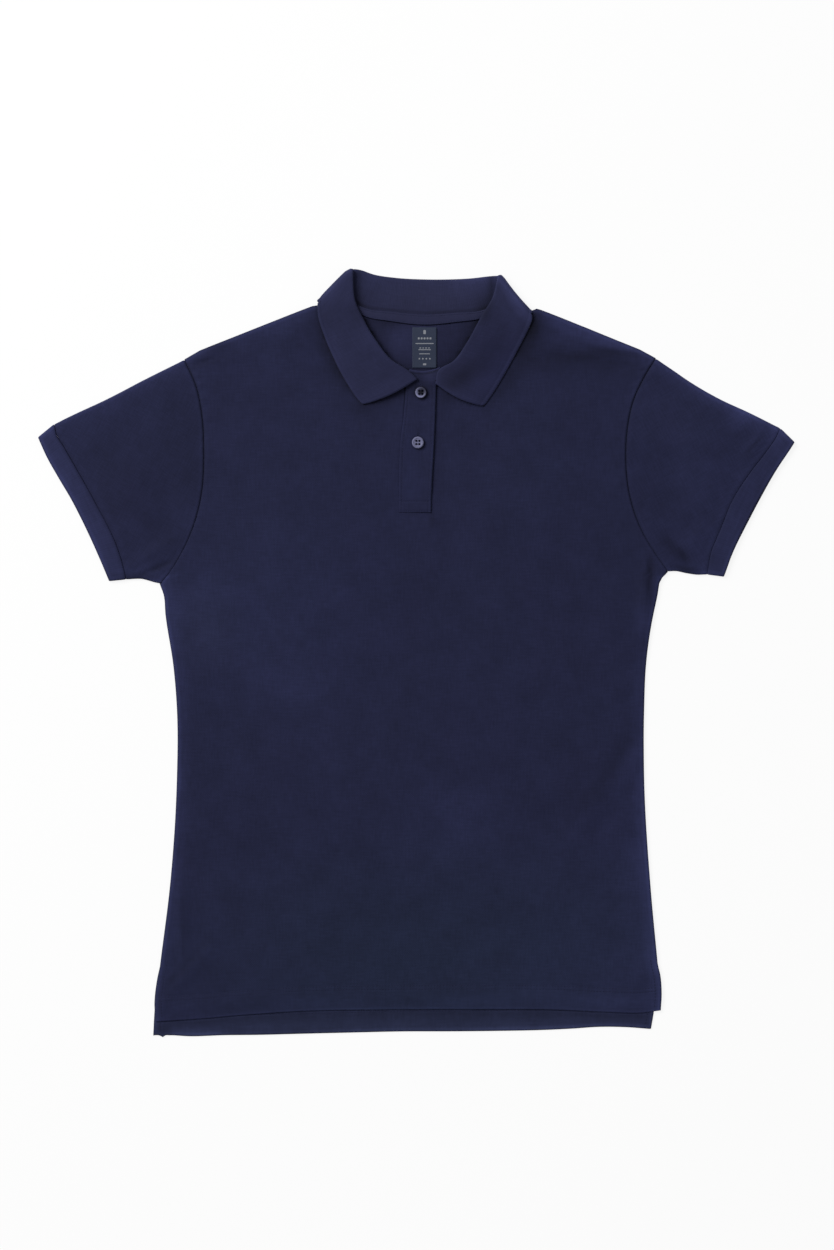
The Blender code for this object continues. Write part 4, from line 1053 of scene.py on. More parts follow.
def fold_arc(start, end, outward):
    """Points between start and end, one above the other, on half circles that bow outward. Arrays of rows."""
    centre, arm = (start + end) / 2, (start - end) / 2
    outward = outward * [1, 1, 0]
    outward = outward * (np.linalg.norm(arm, axis=1) / np.linalg.norm(outward, axis=1))[:, None]
    angles = np.arange(1, EDGE_STEPS) * math.pi / EDGE_STEPS
    return [centre + math.cos(a) * arm + math.sin(a) * outward for a in angles]


def tube(over, under):
    """Rings of a flat tube, from its two layers, whose rows run from the armhole to the hand."""
    parts = [over]
    parts += [np.stack(fold_arc(over[:, -1], under[:, -1], over[:, -1] - over[:, -2]), axis=1)]
    parts += [under[:, ::-1]]
    parts += [np.stack(fold_arc(under[:, 0], over[:, 0], over[:, 0] - over[:, 1]), axis=1)]
    return np.concatenate(parts, axis=1)


def pulled_in(plan, inset):
    """The layer of a tube in plan, made narrower by inset at each of its folds."""
    first, last = plan[:, 1] - plan[:, 0], plan[:, -2] - plan[:, -1]
    away = row_reaches(plan)
    near, far = np.exp(-away / 9)[..., None], np.exp(-(away[:, -1:] - away) / 9)[..., None]
    plan = plan + near * (inset * first / np.linalg.norm(first, axis=1)[:, None])[:, None]
    return plan + far * (inset * last / np.linalg.norm(last, axis=1)[:, None])[:, None]


def tube_tones(tones):
    """Tones for the points of tube, from those of one layer."""
    right = np.repeat(tones[:, -1:], EDGE_STEPS - 1, axis=1)
    left = np.repeat(tones[:, :1], EDGE_STEPS - 1, axis=1)
    return np.concatenate([tones, right, tones[:, ::-1], left], axis=1)


CUFF_SEAM_DIP, CUFF_DIP, CUFF_END_DIP, CUFF_END_ROUND = 0.4, 0.6, 0.45, 1.4
CUFF_UNEVEN, CUFF_RISE = 0.6, 0.1
CUFF_SLIP_SHARE = 0.45
UNDER_CUFF_SENSE = -0.3


def sleeve(arm):
    """A sleeve's middle surface in rings, its place on the cloth and its tones."""
    around = graded(SLEEVE_ROUND, TUBE_EASE)
    start = beside(on_line(spline(arm.armhole), around), arm.side * HALF_SEAM)
    end = beside(on_line(spline(arm.cuff_seam), around), -arm.side * HALF_SEAM)
    low, high = (on_line(spline(edge), graded(SLEEVE_ALONG, PANEL_EASE)) for edge in (arm.underarm, arm.top))
    low[0], low[-1], high[0], high[-1] = start[0], end[0], start[-1], end[-1]
    plan = pulled_in(blend_patch(low, high, start, end), (2 * WALL + LAYER_AIR) / 2)
    x, y, to = plan[..., 0], plan[..., 1], border_distances(plan)
    depth = seam_strength(y)
    dip = SEAM_DIP * depth * turned_down(to.bottom, SEAM_ROUND)
    dip += CUFF_SEAM_DIP * turned_down(to.top, CUFF_SEAM_ROUND)
    pucker = puckered(SLEEVE_PUCKER, y, to.bottom) + puckered(CUFF_PUCKER, y, to.top)
    grid = tube(np.dstack([plan, creased(x, y) - dip + pucker]),
                np.dstack([plan, under_creased(x, y) + 0.5 * dip]))
    seams = stitched(to.bottom, SEAM_SHADE * depth) * stitched(to.top, CUFF_SEAM_SHADE, CUFF_SEAM_WIDTH)
    tones = cloth_tone(x, y) * seams * rim(np.minimum(to.left, to.right) + FOLD_SHOWS_FROM)
    return grid, turned_uvs(grid, arm.slope), tube_tones(tones)


def turned_uvs(grid, angle):
    """The place on the cloth, with its rows along a sleeve that slopes by angle degrees."""
    c, s = math.cos(math.radians(angle)), math.sin(math.radians(angle))
    x, y = grid[..., 0] * MM, grid[..., 1] * MM
    return np.dstack([c * x + s * y, -s * x + c * y])


def cuff_layer(seam, end, level, sense):
    """One layer of a cuff, and its distances to its borders. Its seam and end turn down for a sense of 1."""
    share = graded(CUFF_ALONG, BAND_EASE)[:, None, None]
    plan = pulled_in(seam[None] * (1 - share) + end[None] * share, (2 * RIB_WALL + LAYER_AIR) / 2)
    to = border_distances(plan)
    soft = CUFF_UNEVEN * unevenness(plan[..., 0], plan[..., 1], CUFF_SEED)
    dip = CUFF_DIP * turned_down(to.bottom, CUFF_SEAM_ROUND)
    dip += CUFF_END_DIP * turned_down(to.top, CUFF_END_ROUND)
    return np.dstack([plan, np.maximum(level + sense * (soft + CUFF_RISE - dip), RIB_SKIN / 2)]), to


def cuff(arm):
    """A cuff's middle surface in rings, its place on the knit and its tones."""
    around = graded(SLEEVE_ROUND, TUBE_EASE)
    seam = beside(on_line(spline(arm.cuff_seam), around), arm.side * HALF_SEAM)
    end = on_line(spline(arm.cuff_end), around)
    short = CUFF_SLIP_SHARE * arm.slip * np.sin(math.pi * np.linspace(0, 1, len(end))) ** 2
    over_end = end - np.stack([arm.side * short, 0.5 * short], axis=1)
    over, to = cuff_layer(seam, over_end, 1.5 * RIB_WALL + LAYER_AIR, 1)
    under, _ = cuff_layer(seam, end, RIB_SKIN / 2, UNDER_CUFF_SENSE)
    grid = tube(over, under)
    along = graded(CUFF_ALONG, BAND_EASE)[:, None] * CUFF_DEPTH
    uvs = np.dstack(np.broadcast_arrays(reaches(grid[0])[None, :], along)) * MM
    outer = np.minimum(np.minimum(to.left, to.right) + FOLD_SHOWS_FROM, to.top)
    # The cuff's painted light is a gain on its tones.
    tones = cloth_tone(over[..., 0], over[..., 1]) * rim(outer) * arm.cuff_gain
    return grid, uvs, tube_tones(tones * stitched(to.bottom, CUFF_SEAM_SHADE, CUFF_SEAM_WIDTH))


# The side is -1 at the left. A cuff's upper layer is shorter by about half of slip. The sleeve's cloth slopes
# by that many degrees. The cuff's painted light is a gain on its colour, larger at the left, where the rib's
# raised yarn faces the light.
Arm = namedtuple("Arm", "word armhole cuff_seam underarm top cuff_end side slip slope cuff_gain")
ARMS = table(
    Arm,
    ("left", ARMHOLE_LEFT, CUFF_SEAM_LEFT, UNDERARM_LEFT, SLEEVE_TOP_LEFT, CUFF_END_LEFT, -1, 0, 62, 1.28),
    ("right", ARMHOLE_RIGHT, CUFF_SEAM_RIGHT, UNDERARM_RIGHT, SLEEVE_TOP_RIGHT, CUFF_END_RIGHT, 1,
     CUFF_RIGHT_SLIP, -60, 1.03),
)
sleeves, cuffs = {}, {}
for arm in ARMS:
    grid, uvs, tones = sleeve(arm)
    piece = shell(f"sleeve_{arm.word}_knit", grid, SKIN, PIQUE, uvs, tones, ring=True)
    sleeves[arm.word] = tagged(piece, "pique_knit", f"sleeve_{arm.word}")
    grid, uvs, tones = cuff(arm)
    piece = shell(f"cuff_{arm.word}_rib", grid, RIB_SKIN, CUFF_KNIT, uvs, tones, ring=True)
    cuffs[arm.word] = tagged(piece, "rib_knit", f"cuff_{arm.word}")

# ------------------------------------------------------------
# Collar.


def outward_from_neck(start, end):
    """The level unit vector square to the line from start to end, pointing away from the neck's middle."""
    run = unit(end[:2] - start[:2])
    out = np.array([run[1], -run[0]])
    middle = (start[:2] + end[:2]) / 2 - np.array([NECK_CENTRE_X, NECK_CENTRE_Y])
    return np.append(out if out @ middle > 0 else -out, 0.0)


def collar_section(seam, roll, edge, over, crown):
    """A section of the collar: up the stand, round the roll, down the leaf to its beaded edge."""
    away = roll - (seam + edge) / 2
    away = unit(np.array([away[0], away[1], 0.0]))
    stand_top, leaf_top = roll - ROLL_RADIUS * over, roll + ROLL_RADIUS * over
    stand = [seam + (stand_top - seam) * s / STAND_STEPS for s in range(STAND_STEPS)]
    turn = [roll + ROLL_RADIUS * (math.sin(a) * away - math.cos(a) * over)
            for a in np.linspace(0, math.pi, ROLL_STEPS + 1)]
    leaf, length = [], np.linalg.norm(edge - leaf_top)
    for to_edge in (*np.linspace(length, LEAF_EDGE_ROWS[0], LEAF_STEPS + 1)[1:], *LEAF_EDGE_ROWS[1:]):
        s = 1 - to_edge / length
        bead = 0.16 * bump(to_edge - 1.6, 1.0) - 0.1 * bump(to_edge - 3.6, 0.9)
        bead -= 0.3 * turned_down(to_edge, 0.9)
        leaf.append(leaf_top + (edge - leaf_top) * s + (crown * math.sin(math.pi * s) + bead) * over)
    return stand + turn + leaf


def roll_in(station):
    """The roll's centre in plan, from which the cloth's outer face reaches the station's roll point."""
    seam, roll, edge = station[0:2], station[2:4], station[4:6]
    return roll - (ROLL_RADIUS + COLLAR_WALL / 2) * unit(roll - (seam + edge) / 2)


def front_controls(station):
    """A section's seam, roll and edge points where it lies on the front."""
    places = (station[0:2], roll_in(station), station[4:6])
    return [np.array([*place, float(front_level(*place)) + up]) for place, up in zip(places, station[6:9])]


def back_controls(station):
    """The same points where it lies under the back's neck."""
    seam, roll, edge = station[0:2], roll_in(station), station[4:6]
    return [np.array([*seam, float(back_level(*seam))]), np.array([*roll, BACK_ROLL_LEVEL]),
            np.array([*edge, UNDER_LEAF_LEVEL])]


def turned_controls(front, back, angle):
    """The points of a section turned by angle from the front to the back, and the way its leaf faces."""
    beside_seam = outward_from_neck(front[0], front[1])
    beside_edge = outward_from_neck(front[1], front[2])
    outs = (beside_seam, unit(beside_seam + beside_edge), beside_edge)
    made = []
    for high, low, out in zip(front, back, outs):
        centre, radius = (high + low) / 2, (high[2] - low[2]) / 2
        made.append(centre + radius * (math.sin(angle) * out + math.cos(angle) * UP))
    return made, math.sin(angle) * outs[1] + math.cos(angle) * UP


def fold_crown(angle, sag):
    """How far a leaf bows out at an angle of its turn: less towards the back, and less by sag halfway."""
    return LEAF_CROWN * (1 - angle / math.pi) - sag * math.sin(angle)


def turned_sections(front, back, sag, angles):
    """The sections of the fold at one side of the neck."""
    made = []
    for angle in angles:
        controls, over = turned_controls(front_controls(front), back_controls(back), angle)
        made.append(collar_section(*controls, over, fold_crown(angle, sag)))
    return made


def even_sections(stations, count):
    return on_line(spline(stations), np.linspace(0, 1, count))


def collar_grid():
    """The collar's sections, from the left point round the neck to the right point."""
    left, right = even_sections(COLLAR_LEFT, COLLAR_FRONT), even_sections(COLLAR_RIGHT, COLLAR_FRONT)
    behind = even_sections(COLLAR_BACK, COLLAR_BEHIND)
    angles = np.arange(1, COLLAR_TURN) * math.pi / COLLAR_TURN
    sections = [collar_section(*front_controls(s), UP, LEAF_CROWN) for s in left]
    sections += turned_sections(left[-1], behind[0], LEFT_FOLD_SAG, angles)
    sections += [collar_section(*back_controls(s), -UP, 0) for s in behind]
    sections += turned_sections(right[0], behind[-1], RIGHT_FOLD_SAG, angles[::-1])
    sections += [collar_section(*front_controls(s), UP, LEAF_CROWN) for s in right]
    return bowed(np.array(sections))


def bowed(grid):
    """The collar with the ends of its leaves bowed out a little and its corners rounded."""
    leaf = grid[:, STAND_STEPS + ROLL_STEPS:]
    reach = row_reaches(leaf)
    for end, step, bow in END_BOWS:
        way = leaf[end, :, :2] - leaf[end + 4 * step, :, :2]
        way /= np.linalg.norm(way, axis=1)[:, None]
        out = unit(leaf[end, -1, :2] - leaf[end, 0, :2])
        for k in range(BOWED_SECTIONS):
            row = end + k * step
            to_edge = reach[row, -1] - reach[row]
            to_corner = to_edge + np.linalg.norm(leaf[row, -1, :2] - leaf[end, -1, :2])
            near = np.exp(-to_corner / CORNER_CUT_REACH)[:, None]
            push = (1 - k / BOWED_SECTIONS) ** 2 * np.sin(math.pi * to_edge / to_edge[0])[:, None]
            leaf[row, :, :2] += bow * push * way - CORNER_CUT * near * (way + out)
    for x, y, way_x, way_y, cut in FOLD_CORNERS:
        near = bump(np.hypot(grid[..., 0] - x, grid[..., 1] - y), FOLD_CORNER_REACH)[..., None]
        grid[..., :2] += cut * near * (way_x, way_y)
    return grid


LEAF_UNEVEN = 0.9
# Worn nap and painted sheen at the leaves' edges and ends, and a painted dark line along the edge.
WEAR_AND_SHEEN, WEAR_AND_SHEEN_AT_EDGE, WEAR_AND_SHEEN_AT_END = 0.26, 3.0, 2.4
EDGE_SHADE, EDGE_SHADE_WIDTH = 0.4, 0.5
# Painted highlight on the back's roll, and painted shade on the stand inside it.
ROLL_LIT, ROLL_LIT_REACH, ROLL_LIT_Y, ROLL_LIT_FADE = 0.34, 8, 298, 12
NECK_SIDES = ((-49, 5.0, 1.0), (64.5, 4.5, 1.5))  # at x, the shade's reach and its strength
SIDE_DARK, TAPE_DARK, TAPE_DARK_WIDTH, STAND_DARKEST = 0.32, 0.3, 1.3, 0.6


def collar():
    """The collar's middle surface, its place on the knit and its tones."""
    grid = collar_grid()
    across = row_reaches(grid)
    roll = reaches(grid[:, STAND_STEPS + ROLL_STEPS // 2])
    uvs = np.dstack(np.broadcast_arrays(roll[:, None], across)) * MM
    leaf = np.arange(grid.shape[1])[None] > STAND_STEPS + ROLL_STEPS
    section = np.arange(len(grid))[:, None]
    on_front = (section < COLLAR_FRONT - 2) | (section > len(grid) - COLLAR_FRONT + 1)
    soft = unevenness(grid[..., 0], grid[..., 1], COLLAR_SEED)
    grid[..., 2] = np.maximum(grid[..., 2] + LEAF_UNEVEN * soft * (on_front & leaf), COLLAR_SKIN / 2)
    x, y = grid[..., 0], grid[..., 1]

    # The nap is worn at the leaves' edges and ends, and painted sheen lightens them there; a painted dark
    # line of shade runs along the edge.
    to_edge, to_end = across[:, -1:] - across, np.minimum(roll, roll[-1] - roll)[:, None]
    wear_and_sheen = WEAR_AND_SHEEN * np.maximum(np.exp(-to_edge / WEAR_AND_SHEEN_AT_EDGE), np.exp(-to_end / WEAR_AND_SHEEN_AT_END))
    wear_and_sheen -= EDGE_SHADE * bump(to_edge, EDGE_SHADE_WIDTH)
    tones = cloth_tone(x, y, COLLAR_SPOTS, COLLAR_SHADES) * (1 + wear_and_sheen)[..., None]

    # The back's roll gets a painted highlight. The stand inside it gets painted shade at the neck's sides and
    # just above the tape.
    to_roll = np.abs(across - across[:, STAND_STEPS + ROLL_STEPS // 2][:, None])
    at_back = soft_step((y - ROLL_LIT_Y) / ROLL_LIT_FADE) * ~on_front
    tones *= (1 + ROLL_LIT * np.exp(-to_roll / ROLL_LIT_REACH) * at_back)[..., None]
    dark = SIDE_DARK * sum(strength * np.exp(-np.abs(x - at) / reach) for at, reach, strength in NECK_SIDES)
    dark = np.clip(dark + TAPE_DARK * bump(across - tape_reach(x), TAPE_DARK_WIDTH), 0, STAND_DARKEST)
    return grid, uvs, tones * (1 - dark * (~leaf & ~on_front))[..., None]


def tape_reach(x):
    """How far up the stand from its seam the shade above the tape runs."""
    return TAPE_WIDTH_END + (TAPE_WIDTH_MIDDLE - TAPE_WIDTH_END) * np.cos((x - 5) / 33) + 1.8


grid, uvs, tones = collar()
collar_piece = shell("collar_flat_knit", grid, COLLAR_SKIN, COLLAR_KNIT, uvs, tones)
tagged(collar_piece, "rib_knit", "collar")

# ------------------------------------------------------------
# Placket.


def placket_rows(inset, rows, columns, levels=PLACKET):
    """The placket's plan, made narrower by inset at both sides. Its rows run downward."""
    sides = [(p.left + inset, p.y, p.right - inset, p.y) for p in levels]
    marks = on_line(spline(sides), graded(rows, TUBE_EASE))
    across = graded(columns, BAND_EASE)[None, :, None]
    return marks[:, None, 0:2] * (1 - across) + marks[:, None, 2:4] * across


BAND_FREE_X, BAND_SEWN_X, BAND_FADE = 4.0, -8.0, 12.0
BAND_RESTS, BAND_FREE_SHARE, BAND_INSET, BAND_UNEVEN = 0.36, 0.55, 0.2, 0.25
BAND_NECK_DIP, BAND_NECK_ROUND = 2.2, 4.5
BAND_EDGE_DIP, BAND_EDGE_ROUND = 0.45, 1.1
BAND_SEWN_DIP, BAND_SEWN_ROUND = 0.2, 1.6
PLACKET_GROOVE, BOX_GROOVE = (0.16, 0.6), (0.3, 0.7)  # depth and width
BUTTON_SHADE_AT, BUTTON_SHADE_WIDTH = 5.6, 0.9


def upper_band_level(x, y):
    """The band's middle surface, higher at its free right edge and pressed down at its sewn left one."""
    free = BAND_FREE_SHARE * FREE_EDGE_RISE * soft_step((x - BAND_FREE_X) / BAND_FADE)
    rest = BAND_RESTS * (1 - soft_step((x - BAND_SEWN_X) / BAND_FADE))
    return front_level(x, y) + WALL / 2 + SEAM_GAP + BAND_WALL / 2 + free - rest


def neck_dip(x):
    """The curve that the neckline makes across the placket, from one collar leaf to the other."""
    return height_of(NECK_DIP, x)


def upper_band_grid():
    """The upper band's middle surface."""
    plan = placket_rows(BAND_INSET, UPPER_BAND_ROWS, UPPER_BAND_COLUMNS, BAND_TOP + PLACKET[2:])
    across = (plan[..., 0] - plan[:, :1, 0]) / (plan[:, -1:, 0] - plan[:, :1, 0])
    plan[..., 0] += BAND_WIDENS * across**2 * soft_step((plan[..., 1] - BAND_WIDENS_Y) / 5)
    plan[..., 1] += (neck_dip(plan[..., 0]) - plan[0, 0, 1]) * soft_step((plan[..., 1] - 231) / 12)
    x, y, to = plan[..., 0], plan[..., 1], border_distances(plan)
    to_side = np.minimum(to.left, to.right)
    z = upper_band_level(x, y) + BAND_UNEVEN * unevenness(x, y, BAND_SEED)

    # Near its top the band rises to the right leaf and runs on into it, and its neck edge turns down.
    joined = soft_step((y - BAND_JOINS_Y) / 6)
    z += joined * (1.5 * soft_step((x - 7) / 9.5) - 0.9 * soft_step((x - 18) / 7))
    z -= BAND_NECK_DIP * turned_down(to.bottom, BAND_NECK_ROUND)

    # Its other edges turn down less, and its stitches lie in grooves.
    z -= BAND_EDGE_DIP * turned_down(np.minimum(to.right, to.top), BAND_EDGE_ROUND)
    z -= BAND_SEWN_DIP * turned_down(to.left, BAND_SEWN_ROUND)
    depth, width = PLACKET_GROOVE
    z -= depth * bump(to_side - PLACKET_STITCH_IN, width) * (1 - joined)
    depth, width = BOX_GROOVE
    z -= depth * (bump(y - BOX_STITCH_Y, width) * (y < BOX_STITCH_Y + 6) + bump(to.top - 1.0, width))
    z -= 0.55 * soft_step((BOX_STITCH_Y + 14 - y) / 12)
    return np.dstack([plan, z + puckered(BAND_PUCKER, y, to_side)])


def upper_band_tones(grid):
    """The band's tones, with the shadows of the buttons and of the left leaf."""
    x, y, to = grid[..., 0], grid[..., 1], border_distances(grid[..., :2])
    # Painted light along its right and top edges, painted shade along its neck edge and round the buttons.
    lit = (1 + 0.12 * np.exp(-np.minimum(to.right, to.top) / 1.3)) * (1 - 0.45 * bump(to.bottom, 1.5))
    for button in BUTTONS:
        across, up = x - button.x, y - button.y
        away = np.hypot(across, up)
        shadow = 0.22 + 0.3 * np.maximum((across - up) / np.maximum(away, 0.1) / math.sqrt(2), 0)
        lit *= 1 - shadow * bump(away - BUTTON_SHADE_AT, BUTTON_SHADE_WIDTH)
    tones = cloth_tone(x, y, BAND_SPOTS, []) * lit[..., None]
    return np.dstack([tones, beside_leaf(x, y, OUTSIDE_SHADES[1:2])])


def under_band_surface():
    """The under band's middle surface and its tones. Above the neck seam it runs under both leaves."""
    plan = placket_rows(SLIT_INSET + 1.5 * SEAM_GAP, UNDER_BAND_ROWS, UNDER_BAND_COLUMNS)
    plan = plan[:-UNDER_BAND_ROWS_LESS] + np.array([0.0, SLIT_INSET + 2 * SEAM_GAP])
    across = np.linspace(-1, 1, plan.shape[1])
    plan[..., 0] += across * UNDER_BAND_WIDENS * soft_step((plan[..., 1] - UNDER_BAND_WIDENS_Y) / 5)
    rise = neck_dip(plan[..., 0]) + UNDER_BAND_SHOWS - plan[0, 0, 1]
    reach = plan[0, 0, 1] - UNDER_BAND_RISES_Y
    plan[..., 1] += rise * soft_step((plan[..., 1] - UNDER_BAND_RISES_Y) / reach)
    x, y = plan[..., 0], plan[..., 1]
    # Painted light on the strip that shows, and a painted dark line of shade along the neck's dip.
    shade = 1.4 - 0.5 * bump(neck_dip(x) - y, 1.1)
    return np.dstack([plan, front_level(x, y)]), np.repeat(shade[..., None], 3, axis=2)


upper_grid = upper_band_grid()
upper_band = shell("placket_upper_band", upper_grid, BAND_SKIN, PIQUE, tones=upper_band_tones(upper_grid))
tagged(upper_band, "pique_knit", "placket_upper")
grid, tones = under_band_surface()
under_band = shell("placket_under_band", grid, SKIN, PIQUE_INSIDE, tones=tones)
tagged(under_band, "pique_knit", "placket_under")

# ------------------------------------------------------------
# Neck tape and label.


def tape():
    """The neck tape's middle surface, and its lower edge and width, from left to right."""
    x = np.linspace(TAPE_LEFT_X, TAPE_RIGHT_X, 90)
    seam = np.stack([x, height_of([row[0:2] for row in COLLAR_BACK], x)], axis=1)
    width = TAPE_WIDTH_END + (TAPE_WIDTH_MIDDLE - TAPE_WIDTH_END) * np.sin(np.linspace(0, math.pi, len(x)))
    share = graded(14, TAPE_EASE)
    plan = np.array([seam + np.stack([0 * x, s * width], axis=1) for s in share])
    level = float(back_level(0.0, LEAF_LOW_Y + 12)) + COLLAR_WALL / 2 + SEAM_GAP + TAPE_WALL / 2 + 0.1
    near = np.minimum(share, 1 - share)[:, None] * width[None]
    z = level - 0.3 * turned_down(near, 0.8) - 0.12 * bump(near - 1.3, 0.5)
    z = z + 0.05 * np.sin(plan[..., 0] / 1.3) * bump(near - 1.3, 1.2)
    return np.dstack([plan, z]), seam, width


tape_surface, tape_seam, tape_width = tape()
tape_piece = tagged(shell("neck_tape_twill", tape_surface, TAPE_SKIN, TAPE), "tape", "neck_tape")


def label_level(x, y):
    """The label's middle surface, which stands up a little at its loose lower edge."""
    lift = 0.2 * soft_step((LABEL_BOTTOM + 9 - y) / 9) * (0.15 + 0.85 * soft_step((x - 5) / 12))
    return back_level(x, y) + WALL / 2 + LABEL_SKIN / 2 - 0.02 + lift


x, y = np.meshgrid(np.linspace(LABEL_LEFT, LABEL_RIGHT, 24), np.linspace(LABEL_BOTTOM, LABEL_TOP, 36))
label_grid = np.dstack([x, y, label_level(x, y)])
label_piece = tagged(shell("label_satin", label_grid, LABEL_SKIN, LABEL), "label", "label")

# Pale woven marks: plain bars and dots, which say nothing.
Mark = namedtuple("Mark", "x y width height")
LABEL_MARKS = [Mark(7.1, 276.0, 2.2, 3.6), Mark(7.1, 266.2, 15.6, 0.8), Mark(7.1, 260.9, 10.6, 0.7),
               Mark(7.1, 257.4, 9.2, 0.7)]
LABEL_MARKS += [Mark(x, 270.6, 1.7, 1.7) for x in (2.1, 4.6, 7.1, 9.6, 12.1)]
LABEL_MARKS += [Mark(x, 262.4, 1.5, 0.8) for x in (3.4, 5.9, 8.4, 10.9)]
LABEL_MARKS += [Mark(x, 253.2, 1.3, 1.3) for x in (2.6, 5.6, 8.6, 11.6)]
LABEL_MARKS += [Mark(7.1, 248.4, 2.8, 1.6)]

MARK_CORNERS = [(-1, -0.6), (-0.6, -1), (0.6, -1), (1, -0.6), (1, 0.6), (0.6, 1), (-0.6, 1), (-1, 0.6)]


def label_marks():
    """The marks as thin plates with cut corners, half sunk into the label."""
    points, faces, count = [], [], len(MARK_CORNERS)
    for mark in LABEL_MARKS:
        cut = min(mark.width, mark.height) / 2
        start = len(points)
        for over in (LABEL_SKIN / 2 - 0.05, LABEL_SKIN / 2 + 0.06):
            for a, b in MARK_CORNERS:
                px = mark.x + math.copysign(mark.width / 2 - cut * (1 - abs(a)), a)
                py = mark.y + math.copysign(mark.height / 2 - cut * (1 - abs(b)), b)
                points.append((px, py, float(label_level(px, py)) + over))
        faces += tube_faces(start, 2, count)
    return object_from("label_marks", np.array(points), faces, MARKS)


label_marks_piece = tagged(label_marks(), "label")
label_marks_piece.data.shade_flat()

# ------------------------------------------------------------
# Stitches.


def stitch_row(name, lines, finish=THREAD, pitch=STITCH_PITCH, length=STITCH_LENGTH, width=STITCH_WIDTH):
    """Small rounded stitches along each line of points x, y, z, which lie on the cloth."""
    points, faces = [], []
    for line in lines:
        reach = reaches(line)
        for at in np.arange(pitch / 2, reach[-1] - length / 2, pitch):
            place, ahead, behind = (np.array([np.interp(spot, reach, column) for column in line.T])
                                    for spot in (at, min(at + 0.6, reach[-1]), max(at - 0.6, 0)))
            run = unit(ahead - behind)
            aside = unit(np.cross(UP, run))
            faces += tube_faces(len(points), len(STITCH_RINGS), STITCH_SIDES)
            for along, thick in STITCH_RINGS:
                sink = 0.5 * STITCH_HEIGHT * abs(along) ** 3
                for k in range(STITCH_SIDES):
                    turn = 2 * math.pi * k / STITCH_SIDES
                    points.append(
                        place + run * along * length / 2
                        + aside * math.cos(turn) * thick * width / 2
                        + UP * (math.sin(turn) * thick * STITCH_HEIGHT / 2 - sink))
    return object_from(name, np.array(points), faces, finish)


def row_on_grid(grid, distances, at, over):
    """The line on a grid at that distance from one border, over its middle surface."""
    line = []
    for column in range(grid.shape[1]):
        reach = distances[:, column]
        order = np.argsort(reach)
        line.append([np.interp(at, reach[order], grid[order, column, k]) for k in range(3)])
    line = np.array(line)
    line[:, 2] += over
    return line


front_to_hem = border_distances(front_grid[..., :2]).bottom
back_to_hem = border_distances(back_grid[..., :2]).bottom
hem_lines = [row_on_grid(front_grid, front_to_hem, at, SKIN / 2 + STITCH_OVER)[3:-3] for at in HEM_ROWS]
back_hem_lines = [row_on_grid(back_grid, back_to_hem, at, SKIN / 2 + STITCH_OVER)[3:-3] for at in HEM_ROWS]
front_hem_stitches = tagged(stitch_row("front_hem_stitches", hem_lines), "pique_knit")
back_hem_stitches = tagged(stitch_row("back_hem_stitches", back_hem_lines), "pique_knit")


def vent_line(grid, side):
    """Up a vent's edge, at VENT_STITCH_IN from it, from over the hem's corner to the vent's top."""
    line = []
    for row in grid if side < 0 else grid[:, ::-1]:
        reach = reaches(row[:, :2])
        line.append([np.interp(VENT_STITCH_IN, reach, row[:, k]) for k in range(3)])
    line = np.array(line)
    line = line[(line[:, 1] < VENT_STITCH_TOP_Y) & (line[:, 1] > line[0, 1] + 3)]
    line[:, 2] += SKIN / 2 + STITCH_OVER
    return line


vent_lines = [vent_line(grid, side) for grid in (front_grid, back_grid) for side in (-1, 1)]
vent_stitches = tagged(stitch_row("vent_stitches", vent_lines), "pique_knit")


def on_band(points):
    """Those places with the upper band's height, a little sunk into its stitch grooves."""
    flat = upper_grid.reshape(-1, 3)
    made = []
    for a, b in points:
        near = np.argsort((flat[:, 0] - a) ** 2 + (flat[:, 1] - b) ** 2)[:4]
        made.append((a, b, flat[near, 2].mean() + BAND_SKIN / 2 + 0.04))
    return np.array(made)


def band_side(side, top, bottom):
    """Down the placket's stitches at one side."""
    y = np.linspace(top, bottom, 60)
    levels = np.array(sorted(PLACKET))
    edge = np.interp(y, levels[:, 0], levels[:, 1 if side < 0 else 2])
    return np.stack([edge - side * PLACKET_STITCH_IN, y], axis=1)


band_lines = [on_band(band_side(side, PLACKET_STITCH_TOP_Y, PLACKET_FOOT_Y + 0.2)) for side in (-1, 1)]
for level in (BOX_STITCH_Y, PLACKET_FOOT_Y):
    ends = (band_side(-1, level, level)[0, 0], band_side(1, level, level)[0, 0])
    band_lines.append(on_band([(x, level) for x in np.linspace(*ends, 16)]))
placket_stitches = tagged(stitch_row("placket_stitches", band_lines, pitch=2.3, length=1.8), "pique_knit")

tape_over = tape_surface[..., 2].max() + TAPE_SKIN / 2 - 0.08
tape_lines = []
for share in (0.16, 0.84):
    tape_lines.append(np.column_stack([tape_seam[:, 0], tape_seam[:, 1] + share * tape_width,
                                       np.full(len(tape_seam), tape_over)]))
tape_stitches = tagged(stitch_row("tape_stitches", tape_lines, pitch=2.2, length=1.7, width=0.42), "tape")


def label_line(start, end, count):
    x, y = np.linspace(start, end, count).T
    return np.stack([x, y, label_level(x, y) + LABEL_SKIN / 2 + 0.02], axis=1)


left, right = LABEL_LEFT + 0.9, LABEL_RIGHT - 0.9
label_lines = [label_line((px, LABEL_TOP - 0.8), (px, LABEL_BOTTOM + 1.2), 20) for px in (left, right)]
label_lines.append(label_line((left, LABEL_TOP - 1.0), (right, LABEL_TOP - 1.0), 12))
label_stitches = stitch_row("label_stitches", label_lines, LABEL, pitch=1.9, length=1.4, width=0.35)
tagged(label_stitches, "label")

